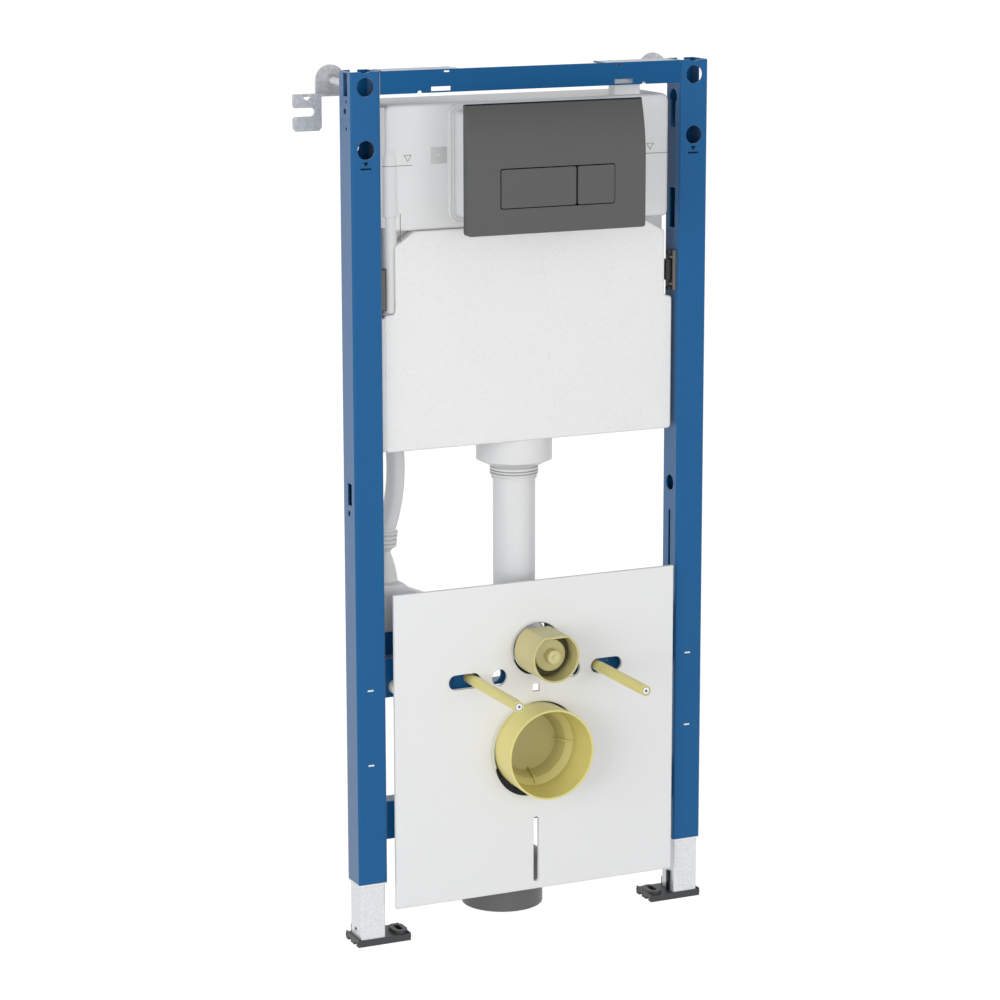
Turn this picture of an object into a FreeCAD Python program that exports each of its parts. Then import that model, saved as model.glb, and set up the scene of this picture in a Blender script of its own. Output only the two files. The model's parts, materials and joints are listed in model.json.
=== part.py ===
"""Wall hung toilet frame: a pre-wall steel frame with cistern, flush plate, drain bend and fixing bolts.

Millimetres, +X to the right as seen from the front, +Y towards the wall, +Z up. The origin is on the
underside of the left foot, on the axis of the left leg. Heights in the table are above the finished
floor, and depths are behind the front of the posts, so a negative depth stands in front of them.
"""
import FreeCAD, Part
import math
import os

import Sketcher

SIZES = (
    ("frame_width", 500),
    ("frame_height", 1120),
    ("leg_setting", 17),
    ("post_size", 40),
    ("post_wall", 2),
    ("post_corner", 3),
    ("post_floor_gap", 68),
    ("access_hole_bore", 23.5),
    ("access_hole_drop", 19),
    ("access_hole_pitch", 78),
    ("screw_hole_bore", 12.8),
    ("scallop_radius", 12),
    ("scallop_depth", 1.8),
    ("side_slot_width", 13),
    ("side_slot_length", 29),
    ("side_slot_shift", 2.5),
    ("side_hole_bore", 4.6),
    ("side_hole_shift", 5),
    ("side_hole_near", 6.7),
    ("side_hole_far", 39.7),
    ("side_bore", 8),
    ("side_bore_drop", 18.5),
    ("keyhole_bore", 20),
    ("keyhole_drop", 48),
    ("keyhole_tail", 41),
    ("cistern_slot_drop", 193),
    ("cistern_slot_length", 53),
    ("cistern_slot_width", 15),
    ("cross_hole_height", 560),
    ("cross_hole_bore", 21),
    ("cross_slot_rise", 10),
    ("cable_slot_drop", 75),
    ("cable_slot_length", 77),
    ("cable_slot_width", 6),
    ("guide_slot_drop", 177.5),
    ("guide_slot_length", 33),
    ("guide_slot_shift", 8),
    ("leg_size", 35),
    ("leg_wall", 2.5),
    ("leg_corner", 2.5),
    ("leg_length", 355),
    ("lock_hole_bore", 9),
    ("foot_outer_reach", 21.5),
    ("foot_inner_reach", 52.5),
    ("foot_front_reach", 19),
    ("foot_back_reach", 25),
    ("foot_height", 9),
    ("foot_groove_width", 8),
    ("foot_groove_depth", 4),
    ("foot_rim_width", 2),
    ("foot_rim_height", 1.5),
    ("boss_offset", 42),
    ("boss_width", 20),
    ("boss_length", 32),
    ("boss_height", 4.5),
    ("boss_slot_width", 8),
    ("tongue_width", 7),
    ("tongue_thickness", 2.5),
    ("tongue_height", 27),
    ("rail_height", 29),
    ("rail_sheet", 2),
    ("rail_flange_depth", 36),
    ("rail_flange_start", 102),
    ("rail_flange_end", 206),
    ("rail_slot_length", 27),
    ("rail_slot_height", 5.5),
    ("rail_slot_centre", 128),
    ("rail_relief_start", 116),
    ("rail_relief_length", 8),
    ("rail_notch_radius", 3.3),
    ("rail_notch_centre", 157),
    ("bar_depth", 10),
    ("bar_sheet", 3),
    ("bar_flange", 25),
    ("wc_bar_low", 314),
    ("wc_bar_step", 365),
    ("wc_bar_high", 395),
    ("tie_hole_centre", 53),
    ("tie_hole_bore", 22),
    ("flush_notch_width", 64),
    ("flush_notch_low", 331),
    ("lower_bar_low", 123),
    ("lower_bar_high", 174),
    ("bracket_depth", 117),
    ("bracket_sheet", 3),
    ("bracket_tab_radius", 20),
    ("bracket_shelf_drop", 16),
    ("bracket_plate_step", 12),
    ("bracket_plate_inner", 17),
    ("bracket_plate_width", 39),
    ("bracket_plate_height", 46),
    ("bracket_chamfer", 4),
    ("bracket_shelf_cut", 7),
    ("bracket_slot_width", 11),
    ("bracket_slot_drop", 22),
    ("bracket_slot_run", 24),
    ("bracket_slot_round", 4),
    ("bracket_notch_radius", 5),
    ("bracket_notch_drop", 2),
    ("bracket_rod_radius", 5),
    ("cistern_half_width", 200),
    ("cistern_depth", 12),
    ("cistern_back", 105),
    ("cistern_low_share", 0.576),
    ("cistern_drop", 43),
    ("cistern_corner", 10),
    ("cistern_shoulder", 7),
    ("cistern_edge", 5),
    ("cistern_panel_depth", 2),
    ("cistern_panel_margin", 20),
    ("collar_half_width", 114),
    ("collar_drop", 2),
    ("collar_height", 151),
    ("collar_band", 9),
    ("collar_proud", 4),
    ("collar_corner", 14),
    ("mount_corner", 5),
    ("mount_wall", 3),
    ("mount_gap", 0.5),
    ("block_depth", 8),
    ("block_back", 30),
    ("block_half_width", 204.5),
    ("block_gap", 7),
    ("block_overhang", 9),
    ("block_chamfer_inner", 160),
    ("block_notch_inner", 191),
    ("block_notch_shift", 2.5),
    ("block_shoulder_drop", 18),
    ("block_notch_drop", 104),
    ("block_corner", 5),
    ("block_edge", 2.5),
    ("inlet_offset", 192),
    ("inlet_depth", 22),
    ("inlet_radius", 11),
    ("inlet_drop", 57),
    ("inlet_step_rise", 23),
    ("inlet_step", 0.8),
    ("clip_rise", 4),
    ("clip_height", 50),
    ("clip_front", 6),
    ("clip_width", 30),
    ("clip_thickness", 5.5),
    ("clip_chamfer", 3),
    ("clip_recess", 1.5),
    ("clip_recess_height", 11),
    ("hanger_start", 122),
    ("hanger_width", 36),
    ("hanger_depth", 14),
    ("hanger_thickness", 18),
    ("flush_plate_width", 247),
    ("flush_plate_height", 163),
    ("flush_plate_standoff", 57),
    ("flush_plate_thickness", 15.5),
    ("flush_plate_lip", 2.5),
    ("flush_plate_flat", 86),
    ("flush_plate_skin", 6),
    ("flush_plate_rim", 8),
    ("flush_plate_corner", 4),
    ("flush_plate_edge", 1.5),
    ("window_corner", 3),
    ("button_half_width", 80),
    ("button_rise", 32),
    ("button_height", 51),
    ("button_split", 26),
    ("button_gap", 1.4),
    ("button_corner", 2.5),
    ("button_thickness", 5),
    ("button_proud", 0.8),
    ("stem_radius", 3),
    ("stem_inset", 15),
    ("guide_sheet", 2.3),
    ("guide_height", 14),
    ("flush_depth", 60),
    ("flush_height", 362.5),
    ("flush_radius", 28),
    ("flush_wall", 2.5),
    ("flush_bend", 60),
    ("flush_mouth", 12),
    ("outlet_radius", 50),
    ("outlet_nut", 41),
    ("outlet_taper", 10),
    ("outlet_tail", 16),
    ("outlet_ring_radius", 30),
    ("outlet_ring_height", 3),
    ("outlet_ring_pitch", 6.2),
    ("fit_gap", 0.3),
    ("flush_cup_radius", 33),
    ("flush_cup_flat", 28.5),
    ("flush_cup_reach", 70),
    ("flush_cup_floor", 14),
    ("cup_wall", 2.5),
    ("cup_neck", 11),
    ("core_radius", 21.5),
    ("core_reach", 52),
    ("knob_radius", 9.5),
    ("knob_reach", 65),
    ("drain_height", 229),
    ("drain_depth", 100),
    ("drain_radius", 43),
    ("spigot_radius", 55),
    ("spigot_length", 66),
    ("spigot_taper", 9),
    ("drain_wall", 3),
    ("drain_bend_radius", 62),
    ("drain_end_gap", 0.5),
    ("socket_radius", 62),
    ("socket_wall", 2),
    ("socket_front", 2),
    ("socket_length", 42),
    ("drain_cup_reach", 56.6),
    ("drain_cup_seat", 20),
    ("drain_cup_gap", 0.5),
    ("drain_cup_flare", 1.1),
    ("drain_cup_floor", 3),
    ("drain_cup_floor_radius", 38.5),
    ("drain_cup_cone_reach", 1),
    ("drain_cup_cone_radius", 46),
    ("drain_cup_step_reach", 8),
    ("drain_cup_step_radius", 54.3),
    ("drain_rib_width", 2),
    ("drain_rib_height", 3.5),
    ("strap_sheet", 2.5),
    ("strap_depth", 14),
    ("strap_width", 20),
    ("pad_width", 403),
    ("pad_height", 421),
    ("pad_low", 32),
    ("pad_standoff", 4),
    ("pad_thickness", 5),
    ("pad_slot_width", 20),
    ("pad_slot_reach", 115.5),
    ("pad_flush_bore", 71),
    ("pad_drain_bore", 129),
    ("pad_drain_sag", 2.5),
    ("pad_mark_share", 0.29),
    ("pad_mark_rise_share", 0.49),
    ("pad_tear_margin", 10),
    ("pad_tear_gap", 30.5),
    ("pad_tear_width", 8),
    ("buffer_radius", 9),
    ("buffer_offset", 194),
    ("bolt_height", 328),
    ("bolt_spacing", 180),
    ("bolt_spacing_wide", 230),
    ("bolt_radius", 6),
    ("bolt_back", 30),
    ("bolt_reach", 145),
    ("sleeve_radius", 7.2),
    ("sleeve_gap", 0.2),
    ("sleeve_reach", 148),
    ("sleeve_lip", 2),
    ("sleeve_lip_radius", 4.5),
    ("sleeve_neck_radius", 6.85),
    ("sleeve_neck_reach", 16),
    ("conduit_radius", 12),
    ("conduit_depth", 60),
    ("conduit_offset", 168.8),
    ("conduit_bend", 243),
    ("conduit_apex_share", 0.844),
    ("conduit_turn", 60),
    ("boot_high_share", 0.528),
    ("boot_rib_radius", 15),
    ("boot_neck_radius", 9),
    ("boot_neck_share", 0.408),
    ("boot_skirt_radius", 17),
    ("junction_depth", 30),
    ("junction_thickness", 45),
    ("junction_outer", 200),
    ("junction_inner", 120),
    ("junction_shoulder", 165),
    ("junction_inner_share", 0.18),
    ("junction_high_share", 0.292),
)

FULL_TURN = 360
QUARTER = math.pi / 2
BOOT_RIBS = 4
UP = FreeCAD.Vector(0, 0, 1)
BACK = FreeCAD.Vector(0, 1, 0)


class Term:
    """A number with the formula that gives it, so that a shape is drawn once and then follows the sheet."""

    def __init__(self, value, text):
        self.value = value
        self.text = text

    @staticmethod
    def of(number):
        if isinstance(number, Term):
            return number
        return Term(float(number), f"({float(number)})")

    def combined(self, sign, other, value):
        return Term(value, f"({self.text} {sign} {other.text})")

    def __add__(self, other):
        other = Term.of(other)
        return self.combined("+", other, self.value + other.value)

    def __sub__(self, other):
        other = Term.of(other)
        return self.combined("-", other, self.value - other.value)

    def __mul__(self, other):
        other = Term.of(other)
        return self.combined("*", other, self.value * other.value)

    def __truediv__(self, other):
        other = Term.of(other)
        return self.combined("/", other, self.value / other.value)

    def __radd__(self, other):
        return Term.of(other) + self

    def __rsub__(self, other):
        return Term.of(other) - self

    def __rmul__(self, other):
        return Term.of(other) * self

    def __neg__(self):
        return Term.of(0) - self

    def root(self):
        return Term(math.sqrt(self.value), f"sqrt({self.text})")


class Sheet:
    """The table of driving sizes, each read as an attribute."""

    def __init__(self, document):
        self.cells = document.addObject("Spreadsheet::Sheet", "Sizes")
        for row, (name, number) in enumerate(SIZES, start=1):
            self.cells.set(f"A{row}", name)
            self.cells.set(f"B{row}", str(number))
            self.cells.setAlias(f"B{row}", name)
        document.recompute()

    def __getattr__(self, name):
        return Term(float(self.cells.get(name)), f"Sizes.{name}")


doc = FreeCAD.newDocument("ToiletFrame")
d = Sheet(doc)
sub_parts = []

# Places that several pieces share.
MIDDLE = (d.frame_width - d.post_size) / 2
FRONT = -d.post_size / 2
INNER_HALF = d.frame_width / 2 - d.post_size
TOP = d.frame_height + d.leg_setting
POST_LOW = d.post_floor_gap + d.leg_setting
POST_LENGTH = d.frame_height - d.post_floor_gap
RIGHT_AXIS = d.frame_width - d.post_size
BOLT_OFFSET = d.bolt_spacing / 2
PLATE_BACK = FRONT - d.flush_plate_standoff
PLATE_FRONT = PLATE_BACK - d.flush_plate_thickness
CISTERN_HIGH = d.frame_height - d.cistern_drop
CISTERN_LOW = d.frame_height * d.cistern_low_share
COLLAR_HIGH = CISTERN_HIGH - d.collar_drop
COLLAR_LOW = COLLAR_HIGH - d.collar_height
BLOCK_HIGH = COLLAR_LOW - d.block_gap
BLOCK_LOW = CISTERN_LOW - d.block_overhang
NOTCH_LOW = BLOCK_HIGH - d.block_notch_drop
INLET_HIGH = CISTERN_HIGH - d.inlet_drop
BUTTON_LOW = BLOCK_HIGH + d.button_rise
BUTTON_HIGH = BUTTON_LOW + d.button_height
BUTTON_MIDDLE = BUTTON_LOW + d.button_height / 2
FULL_BUTTON = (-d.button_half_width, d.button_split)
HALF_BUTTON = (d.button_split, d.button_half_width)
SUPPLY_RISE = CISTERN_LOW - d.wc_bar_high
BOOT_HIGH = d.wc_bar_high + SUPPLY_RISE * d.boot_high_share
CONDUIT_APEX = d.wc_bar_high + SUPPLY_RISE * d.conduit_apex_share
CONDUIT_DIP = CONDUIT_APEX - BOOT_HIGH
BOOT_LEAN = d.conduit_bend - (d.conduit_bend * d.conduit_bend - CONDUIT_DIP * CONDUIT_DIP).root()
JUNCTION_HIGH = d.wc_bar_high + SUPPLY_RISE * d.junction_high_share


def level(height):
    """Height above the finished floor, in the part's own frame."""
    return height + d.leg_setting


def behind(depth):
    """Depth behind the front of the posts, in the part's own frame."""
    return FRONT + depth


# Drawing and feature helpers.


def bind(thing, target, term):
    thing.setExpression(target, Term.of(term).text)


def new_body(label):
    body = doc.addObject("PartDesign::Body", label)
    body.Label = label
    sub_parts.append(body)
    return body


def new_sketch(body, name, role, x=0, y=0, z=0):
    """A sketch on one of the body's own planes, moved by x, y and z in the sketch's directions."""
    drawing = body.newObject("Sketcher::SketchObject", f"{body.Name}_{name}")
    plane = next(feature for feature in body.Origin.OriginFeatures if feature.Role == role)
    drawing.AttachmentSupport = [(plane, "")]
    drawing.MapMode = "FlatFace"
    for axis, term in zip("xyz", (x, y, z)):
        bind(drawing, f"AttachmentOffset.Base.{axis}", term)
    return drawing


def front_sketch(body, name, x, y):
    """A sketch seen from the front: its directions are +X and +Z, and it lies at depth y."""
    return new_sketch(body, name, "XZ_Plane", x=x, z=-y)


def plan_sketch(body, name, x, y, z):
    return new_sketch(body, name, "XY_Plane", x=x, y=y, z=z)


def side_sketch(body, name, x, y=0, z=0):
    """A sketch seen from the left side: its directions are +Y and +Z, and it lies at x."""
    return new_sketch(body, name, "YZ_Plane", x=y, y=z, z=x)


def pin_point(drawing, index, position, x, y):
    for kind, term in (("DistanceX", x), ("DistanceY", y)):
        constraint = Sketcher.Constraint(kind, -1, 1, index, position, Term.of(term).value)
        number = drawing.addConstraint(constraint)
        bind(drawing, f"Constraints[{number}]", term)


def pin_radius(drawing, index, radius):
    number = drawing.addConstraint(Sketcher.Constraint("Radius", index, Term.of(radius).value))
    bind(drawing, f"Constraints[{number}]", radius)


def point(x, y):
    return FreeCAD.Vector(Term.of(x).value, Term.of(y).value, 0)


def draw_outline(drawing, corners):
    """A closed outline of straight lines through the corners."""
    first = drawing.GeometryCount
    count = len(corners)
    for index, corner in enumerate(corners):
        following = corners[(index + 1) % count]
        drawing.addGeometry(Part.LineSegment(point(*corner), point(*following)))
    for index, corner in enumerate(corners):
        following = first + (index + 1) % count
        drawing.addConstraint(Sketcher.Constraint("Coincident", first + index, 2, following, 1))
        pin_point(drawing, first + index, 1, *corner)


def draw_box(drawing, low_x, low_y, high_x, high_y):
    draw_outline(drawing, [(low_x, low_y), (high_x, low_y), (high_x, high_y), (low_x, high_y)])


def draw_circle(drawing, x, y, radius):
    index = drawing.addGeometry(Part.Circle(point(x, y), UP, Term.of(radius).value))
    pin_point(drawing, index, 3, x, y)
    pin_radius(drawing, index, radius)


def draw_slot(drawing, low, high, radius):
    """A round-ended slot between two centres that lie on one line along or up the sketch."""
    start = point(*low)
    end = point(*high)
    along = (end - start).normalize()
    side = FreeCAD.Vector(-along.y, along.x, 0) * Term.of(radius).value
    reach = along * Term.of(radius).value
    near_line = drawing.addGeometry(Part.LineSegment(start - side, end - side))
    end_arc = drawing.addGeometry(Part.Arc(end - side, end + reach, end + side))
    far_line = drawing.addGeometry(Part.LineSegment(end + side, start + side))
    start_arc = drawing.addGeometry(Part.Arc(start + side, start - reach, start - side))
    ring = (near_line, end_arc, far_line, start_arc)
    for index, piece in enumerate(ring):
        following = ring[(index + 1) % len(ring)]
        drawing.addConstraint(Sketcher.Constraint("Tangent", piece, 2, following, 1))
    drawing.addConstraint(Sketcher.Constraint("Equal", end_arc, start_arc))
    pin_point(drawing, end_arc, 3, *high)
    pin_point(drawing, start_arc, 3, *low)
    pin_radius(drawing, end_arc, radius)


def pad(drawing, length, reverse=False):
    body = drawing.getParentGeoFeatureGroup()
    feature = body.newObject("PartDesign::Pad", f"{drawing.Name}_pad")
    feature.Profile = drawing
    feature.Reversed = reverse
    bind(feature, "Length", length)
    drawing.Visibility = False
    doc.recompute()
    return feature


def pocket(drawing, length, reverse=False):
    """Cut the sketch's outlines away, and make sure that something was cut."""
    body = drawing.getParentGeoFeatureGroup()
    before = body.Shape.Volume
    feature = body.newObject("PartDesign::Pocket", f"{drawing.Name}_cut")
    feature.Profile = drawing
    feature.Reversed = reverse
    bind(feature, "Length", length)
    doc.recompute()
    if not body.Shape.Volume < before:
        raise ValueError(f"{drawing.Name} cuts nothing")
    return feature


def revolve(drawing, axis):
    body = drawing.getParentGeoFeatureGroup()
    feature = body.newObject("PartDesign::Revolution", f"{drawing.Name}_turned")
    feature.Profile = drawing
    feature.ReferenceAxis = (drawing, [axis])
    feature.Angle = FULL_TURN
    doc.recompute()
    return feature


def fillet(body, name, radius, wanted):
    """Round the edges of the body's last feature that the wanted test picks."""
    base = body.Tip
    names = [f"Edge{number}" for number, edge in enumerate(base.Shape.Edges, start=1) if wanted(edge)]
    feature = body.newObject("PartDesign::Fillet", f"{body.Name}_{name}")
    feature.Base = (base, names)
    bind(feature, "Radius", radius)
    doc.recompute()
    return feature


def runs_along(edge, axis):
    if not isinstance(edge.Curve, Part.Line):
        return False
    return abs(edge.Curve.Direction.dot(axis)) > 0.999


def runs_back(edge):
    return runs_along(edge, BACK)


def draw_bend(drawing, start, corner, end, radius, side):
    """A path from start, straight above (side 1) or below (side -1) the corner, that turns forward to end."""
    upright = (corner[0], corner[1] + side * radius)
    flat = (corner[0] - radius, corner[1])
    circle = Part.Circle(point(corner[0] - radius, corner[1] + side * radius), UP, radius.value)
    first, last = (-QUARTER, 0) if side > 0 else (0, QUARTER)
    upright_end, flat_end = (2, 1) if side > 0 else (1, 2)
    run = drawing.addGeometry(Part.LineSegment(point(*start), point(*upright)))
    arc = drawing.addGeometry(Part.ArcOfCircle(circle, first, last))
    forward = drawing.addGeometry(Part.LineSegment(point(*flat), point(*end)))
    drawing.addConstraint(Sketcher.Constraint("Coincident", run, 2, arc, upright_end))
    drawing.addConstraint(Sketcher.Constraint("Coincident", forward, 1, arc, flat_end))
    pin_point(drawing, run, 1, *start)
    pin_point(drawing, run, 2, *upright)
    pin_point(drawing, forward, 1, *flat)
    pin_point(drawing, forward, 2, *end)
    pin_radius(drawing, arc, radius)


def sweep(profile, spine, kind):
    body = profile.getParentGeoFeatureGroup()
    feature = body.newObject(f"PartDesign::{kind}", f"{profile.Name}_swept")
    feature.Profile = profile
    feature.Spine = (spine, [f"Edge{number}" for number in range(1, spine.GeometryCount + 1)])
    doc.recompute()
    return feature


def rod_along_y(label, x, z, radius, start, end):
    rod = doc.addObject("Part::Cylinder", label)
    rod.Label = label
    rod.Placement.Rotation = FreeCAD.Rotation(FreeCAD.Vector(1, 0, 0), -90)
    bind(rod, "Radius", radius)
    bind(rod, "Height", end - start)
    bind(rod, "Placement.Base.x", x)
    bind(rod, "Placement.Base.y", start)
    bind(rod, "Placement.Base.z", z)
    return rod


# Steel frame.


def make_tube(label, axis, size, wall, corner, low, length):
    """An upright square tube with rounded outer corners."""
    body = new_body(label)
    half = size / 2
    bore = half - wall
    section = plan_sketch(body, "section", axis, 0, low)
    draw_box(section, -half, -half, half, half)
    draw_box(section, -bore, -bore, bore, bore)
    pad(section, length)

    def outer_corner(edge):
        across = abs(edge.CenterOfMass.x - axis.value)
        return runs_along(edge, UP) and min(across, abs(edge.CenterOfMass.y)) > bore.value + 0.1

    fillet(body, "corners", corner, outer_corner)
    return body


def make_post(label, axis, outward):
    """A post with access holes in front and slots in its sides; outward is -1 on the left."""
    body = make_tube(label, axis, d.post_size, d.post_wall, d.post_corner, POST_LOW, POST_LENGTH)
    half = d.post_size / 2
    through = d.post_wall * 2
    upper = TOP - d.access_hole_drop
    lower = upper - d.access_hole_pitch
    access = front_sketch(body, "access", axis, FRONT)
    draw_circle(access, 0, upper, d.access_hole_bore / 2)
    draw_circle(access, 0, lower, d.access_hole_bore / 2)
    draw_circle(access, 0, TOP + d.scallop_radius - d.scallop_depth, d.scallop_radius)
    pocket(access, through)

    slot_half = d.side_slot_width / 2
    slot_near = -d.side_slot_shift - slot_half
    slot_far = slot_half - d.side_slot_shift
    slot_top = TOP - d.post_wall
    slot_low = slot_top - d.side_slot_length
    hole_radius = d.side_hole_bore / 2
    cross_z = level(d.cross_hole_height)
    lower_slot = cross_z + d.cross_slot_rise
    outer = side_sketch(body, "outer", axis + outward * half)
    draw_box(outer, slot_near, slot_low, slot_far, slot_top)
    draw_circle(outer, -d.side_hole_shift, slot_low - d.side_hole_near, hole_radius)
    draw_circle(outer, 0, slot_low - d.side_bore_drop, d.side_bore / 2)
    draw_circle(outer, -d.side_hole_shift, slot_low - d.side_hole_far, hole_radius)
    draw_box(outer, slot_near, lower_slot, slot_far, lower_slot + d.side_slot_length)
    draw_circle(outer, 0, cross_z, d.side_bore / 2)
    pocket(outer, through, reverse=outward < 0)

    inner = side_sketch(body, "inner", axis - outward * half)
    draw_circle(inner, 0, TOP - d.keyhole_drop, d.keyhole_bore / 2)
    draw_circle(inner, 0, cross_z, d.cross_hole_bore / 2)
    cistern_z = TOP - d.cistern_slot_drop
    slot_wide = d.cistern_slot_width / 2
    slot_tall = d.cistern_slot_length / 2
    draw_box(inner, -slot_wide, cistern_z - slot_tall, slot_wide, cistern_z + slot_tall)
    for shift, centre, length, width in (
            (0, cross_z - d.cable_slot_drop, d.cable_slot_length, d.cable_slot_width),
            (-d.guide_slot_shift, cross_z - d.guide_slot_drop, d.guide_slot_length, d.side_slot_width)):
        reach = (length - width) / 2
        draw_slot(inner, (shift, centre - reach), (shift, centre + reach), width / 2)
    pocket(inner, through, reverse=outward > 0)

    tail = side_sketch(body, "tail", axis - outward * half)
    tail_low = TOP - d.keyhole_drop - d.keyhole_tail
    draw_box(tail, -slot_half, tail_low, slot_half, TOP - d.keyhole_drop)
    pocket(tail, through, reverse=outward > 0)

    rod_bore = d.bracket_rod_radius + d.fit_gap
    back = front_sketch(body, "back", axis, -FRONT)
    draw_slot(back, (0, upper), (0, TOP + rod_bore), rod_bore)
    draw_circle(back, 0, lower, d.screw_hole_bore / 2)
    pocket(back, through, reverse=True)


def make_leg(label, axis, outward):
    """A square leg that telescopes out of a post and stands on its foot."""
    body = make_tube(label, axis, d.leg_size, d.leg_wall, d.leg_corner, d.foot_height, d.leg_length)
    lock = side_sketch(body, "lock", axis + outward * (d.leg_size / 2))
    draw_circle(lock, 0, d.foot_height + d.lock_hole_bore, d.lock_hole_bore / 2)
    pocket(lock, d.leg_wall * 2, reverse=outward < 0)


def make_foot(label, axis, inward):
    """A moulded foot plate with an oval screw boss beside the leg and a spring tongue against it."""
    body = new_body(label)
    outer_x = -inward * d.foot_outer_reach
    inner_x = inward * d.foot_inner_reach
    low_x, high_x = (outer_x, inner_x) if inward > 0 else (inner_x, outer_x)
    plan = plan_sketch(body, "plan", axis, 0, 0)
    draw_box(plan, low_x, -d.foot_front_reach, high_x, d.foot_back_reach)
    pad(plan, d.foot_height)
    rims = plan_sketch(body, "rims", axis, 0, d.foot_height)
    draw_box(rims, low_x, -d.foot_front_reach, low_x + d.foot_rim_width, d.foot_back_reach)
    draw_box(rims, high_x - d.foot_rim_width, -d.foot_front_reach, high_x, d.foot_back_reach)
    pad(rims, d.foot_rim_height)

    boss_x = inward * d.boss_offset
    reach = (d.boss_length - d.boss_width) / 2
    boss = plan_sketch(body, "boss", axis, 0, d.foot_height)
    draw_slot(boss, (boss_x, -reach), (boss_x, reach), d.boss_width / 2)
    pad(boss, d.boss_height)
    hole = plan_sketch(body, "hole", axis, 0, d.foot_height + d.boss_height)
    draw_slot(hole, (boss_x, -reach), (boss_x, reach), d.boss_slot_width / 2)
    pocket(hole, d.foot_height + d.boss_height * 2)

    leg_face = inward * (d.leg_size / 2)
    tongue_face = inward * (d.leg_size / 2 + d.tongue_thickness)
    near, far = (leg_face, tongue_face) if inward > 0 else (tongue_face, leg_face)
    tongue = plan_sketch(body, "tongue", axis, 0, d.foot_height)
    draw_box(tongue, near, -d.tongue_width, far, 0)
    pad(tongue, d.tongue_height)

    grooves = side_sketch(body, "grooves", axis + low_x)
    for start in (-d.foot_front_reach + d.foot_groove_width, d.foot_back_reach - d.foot_groove_width * 2):
        draw_box(grooves, start, 0, start + d.foot_groove_width, d.foot_groove_depth)
    pocket(grooves, d.foot_inner_reach + d.foot_outer_reach, reverse=True)


def make_top_rail():
    """A folded rail between the posts: a front web with slots, and a flange near each end."""
    body = new_body("top_rail")
    low = TOP - d.rail_height
    web = front_sketch(body, "web", MIDDLE, FRONT)
    draw_box(web, -INNER_HALF, low, INNER_HALF, TOP)
    pad(web, d.rail_sheet, reverse=True)
    flanges = plan_sketch(body, "flanges", MIDDLE, FRONT, TOP - d.rail_sheet)
    for start, end in ((-d.rail_flange_end, -d.rail_flange_start), (d.rail_flange_start, d.rail_flange_end)):
        draw_box(flanges, start, 0, end, d.rail_flange_depth)
    pad(flanges, d.rail_sheet)
    cuts = front_sketch(body, "cuts", MIDDLE, FRONT)
    slot_low = low + d.rail_sheet
    for side in (-1, 1):
        centre = side * d.rail_slot_centre
        half = d.rail_slot_length / 2
        draw_box(cuts, centre - half, slot_low, centre + half, slot_low + d.rail_slot_height)
        draw_circle(cuts, side * d.rail_notch_centre, low, d.rail_notch_radius)
    pocket(cuts, d.rail_sheet * 2)
    reliefs = front_sketch(body, "reliefs", MIDDLE, FRONT)
    for side in (-1, 1):
        inner = side * d.rail_relief_start
        outer = side * (d.rail_relief_start + d.rail_relief_length)
        low_x, high_x = (inner, outer) if side > 0 else (outer, inner)
        draw_box(reliefs, low_x, TOP - d.rail_sheet * 2, high_x, TOP - d.rail_sheet)
    pocket(reliefs, d.rail_sheet * 2)


def make_wc_crossbar():
    """A stepped channel behind the bolts, notched in the middle for the flush bend."""
    body = new_body("wc_crossbar")
    sheet = d.bar_sheet
    near = behind(d.bar_depth)
    far = near + d.bar_flange
    low = level(d.wc_bar_low)
    step = level(d.wc_bar_step)
    high = level(d.wc_bar_high)
    section = side_sketch(body, "section", MIDDLE - INNER_HALF)
    draw_outline(section, [
        (near, low), (far, low), (far, low + sheet), (near + sheet, low + sheet),
        (near + sheet, step - sheet), (far, step - sheet), (far, high), (far - sheet, high),
        (far - sheet, step), (near, step)])
    pad(section, INNER_HALF * 2)
    holes = front_sketch(body, "holes", MIDDLE, near)
    for side in (-1, 1):
        draw_circle(holes, side * BOLT_OFFSET, level(d.bolt_height), d.bolt_radius + d.fit_gap)
        draw_circle(holes, side * (d.bolt_spacing_wide / 2), level(d.bolt_height), d.bolt_radius + d.fit_gap)
        draw_circle(holes, side * d.tie_hole_centre, level(d.bolt_height), d.tie_hole_bore / 2)
    pocket(holes, sheet * 2)
    notch = front_sketch(body, "notch", MIDDLE, near)
    half = d.flush_notch_width / 2
    draw_box(notch, -half, level(d.flush_notch_low), half, high + sheet)
    pocket(notch, d.bar_flange + sheet)


def make_lower_crossbar():
    """A channel under the drain socket, with a round saddle that the socket lies in."""
    body = new_body("lower_crossbar")
    sheet = d.bar_sheet
    near = behind(d.bar_depth)
    far = near + d.bar_flange
    low = level(d.lower_bar_low)
    high = level(d.lower_bar_high)
    section = side_sketch(body, "section", MIDDLE - INNER_HALF)
    draw_outline(section, [
        (near, low), (far, low), (far, low + sheet), (near + sheet, low + sheet),
        (near + sheet, high - sheet), (far, high - sheet), (far, high), (near, high)])
    pad(section, INNER_HALF * 2)
    saddle = front_sketch(body, "saddle", MIDDLE, near)
    draw_circle(saddle, 0, level(d.drain_height), d.socket_radius + d.fit_gap)
    pocket(saddle, d.bar_flange + sheet)


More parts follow.
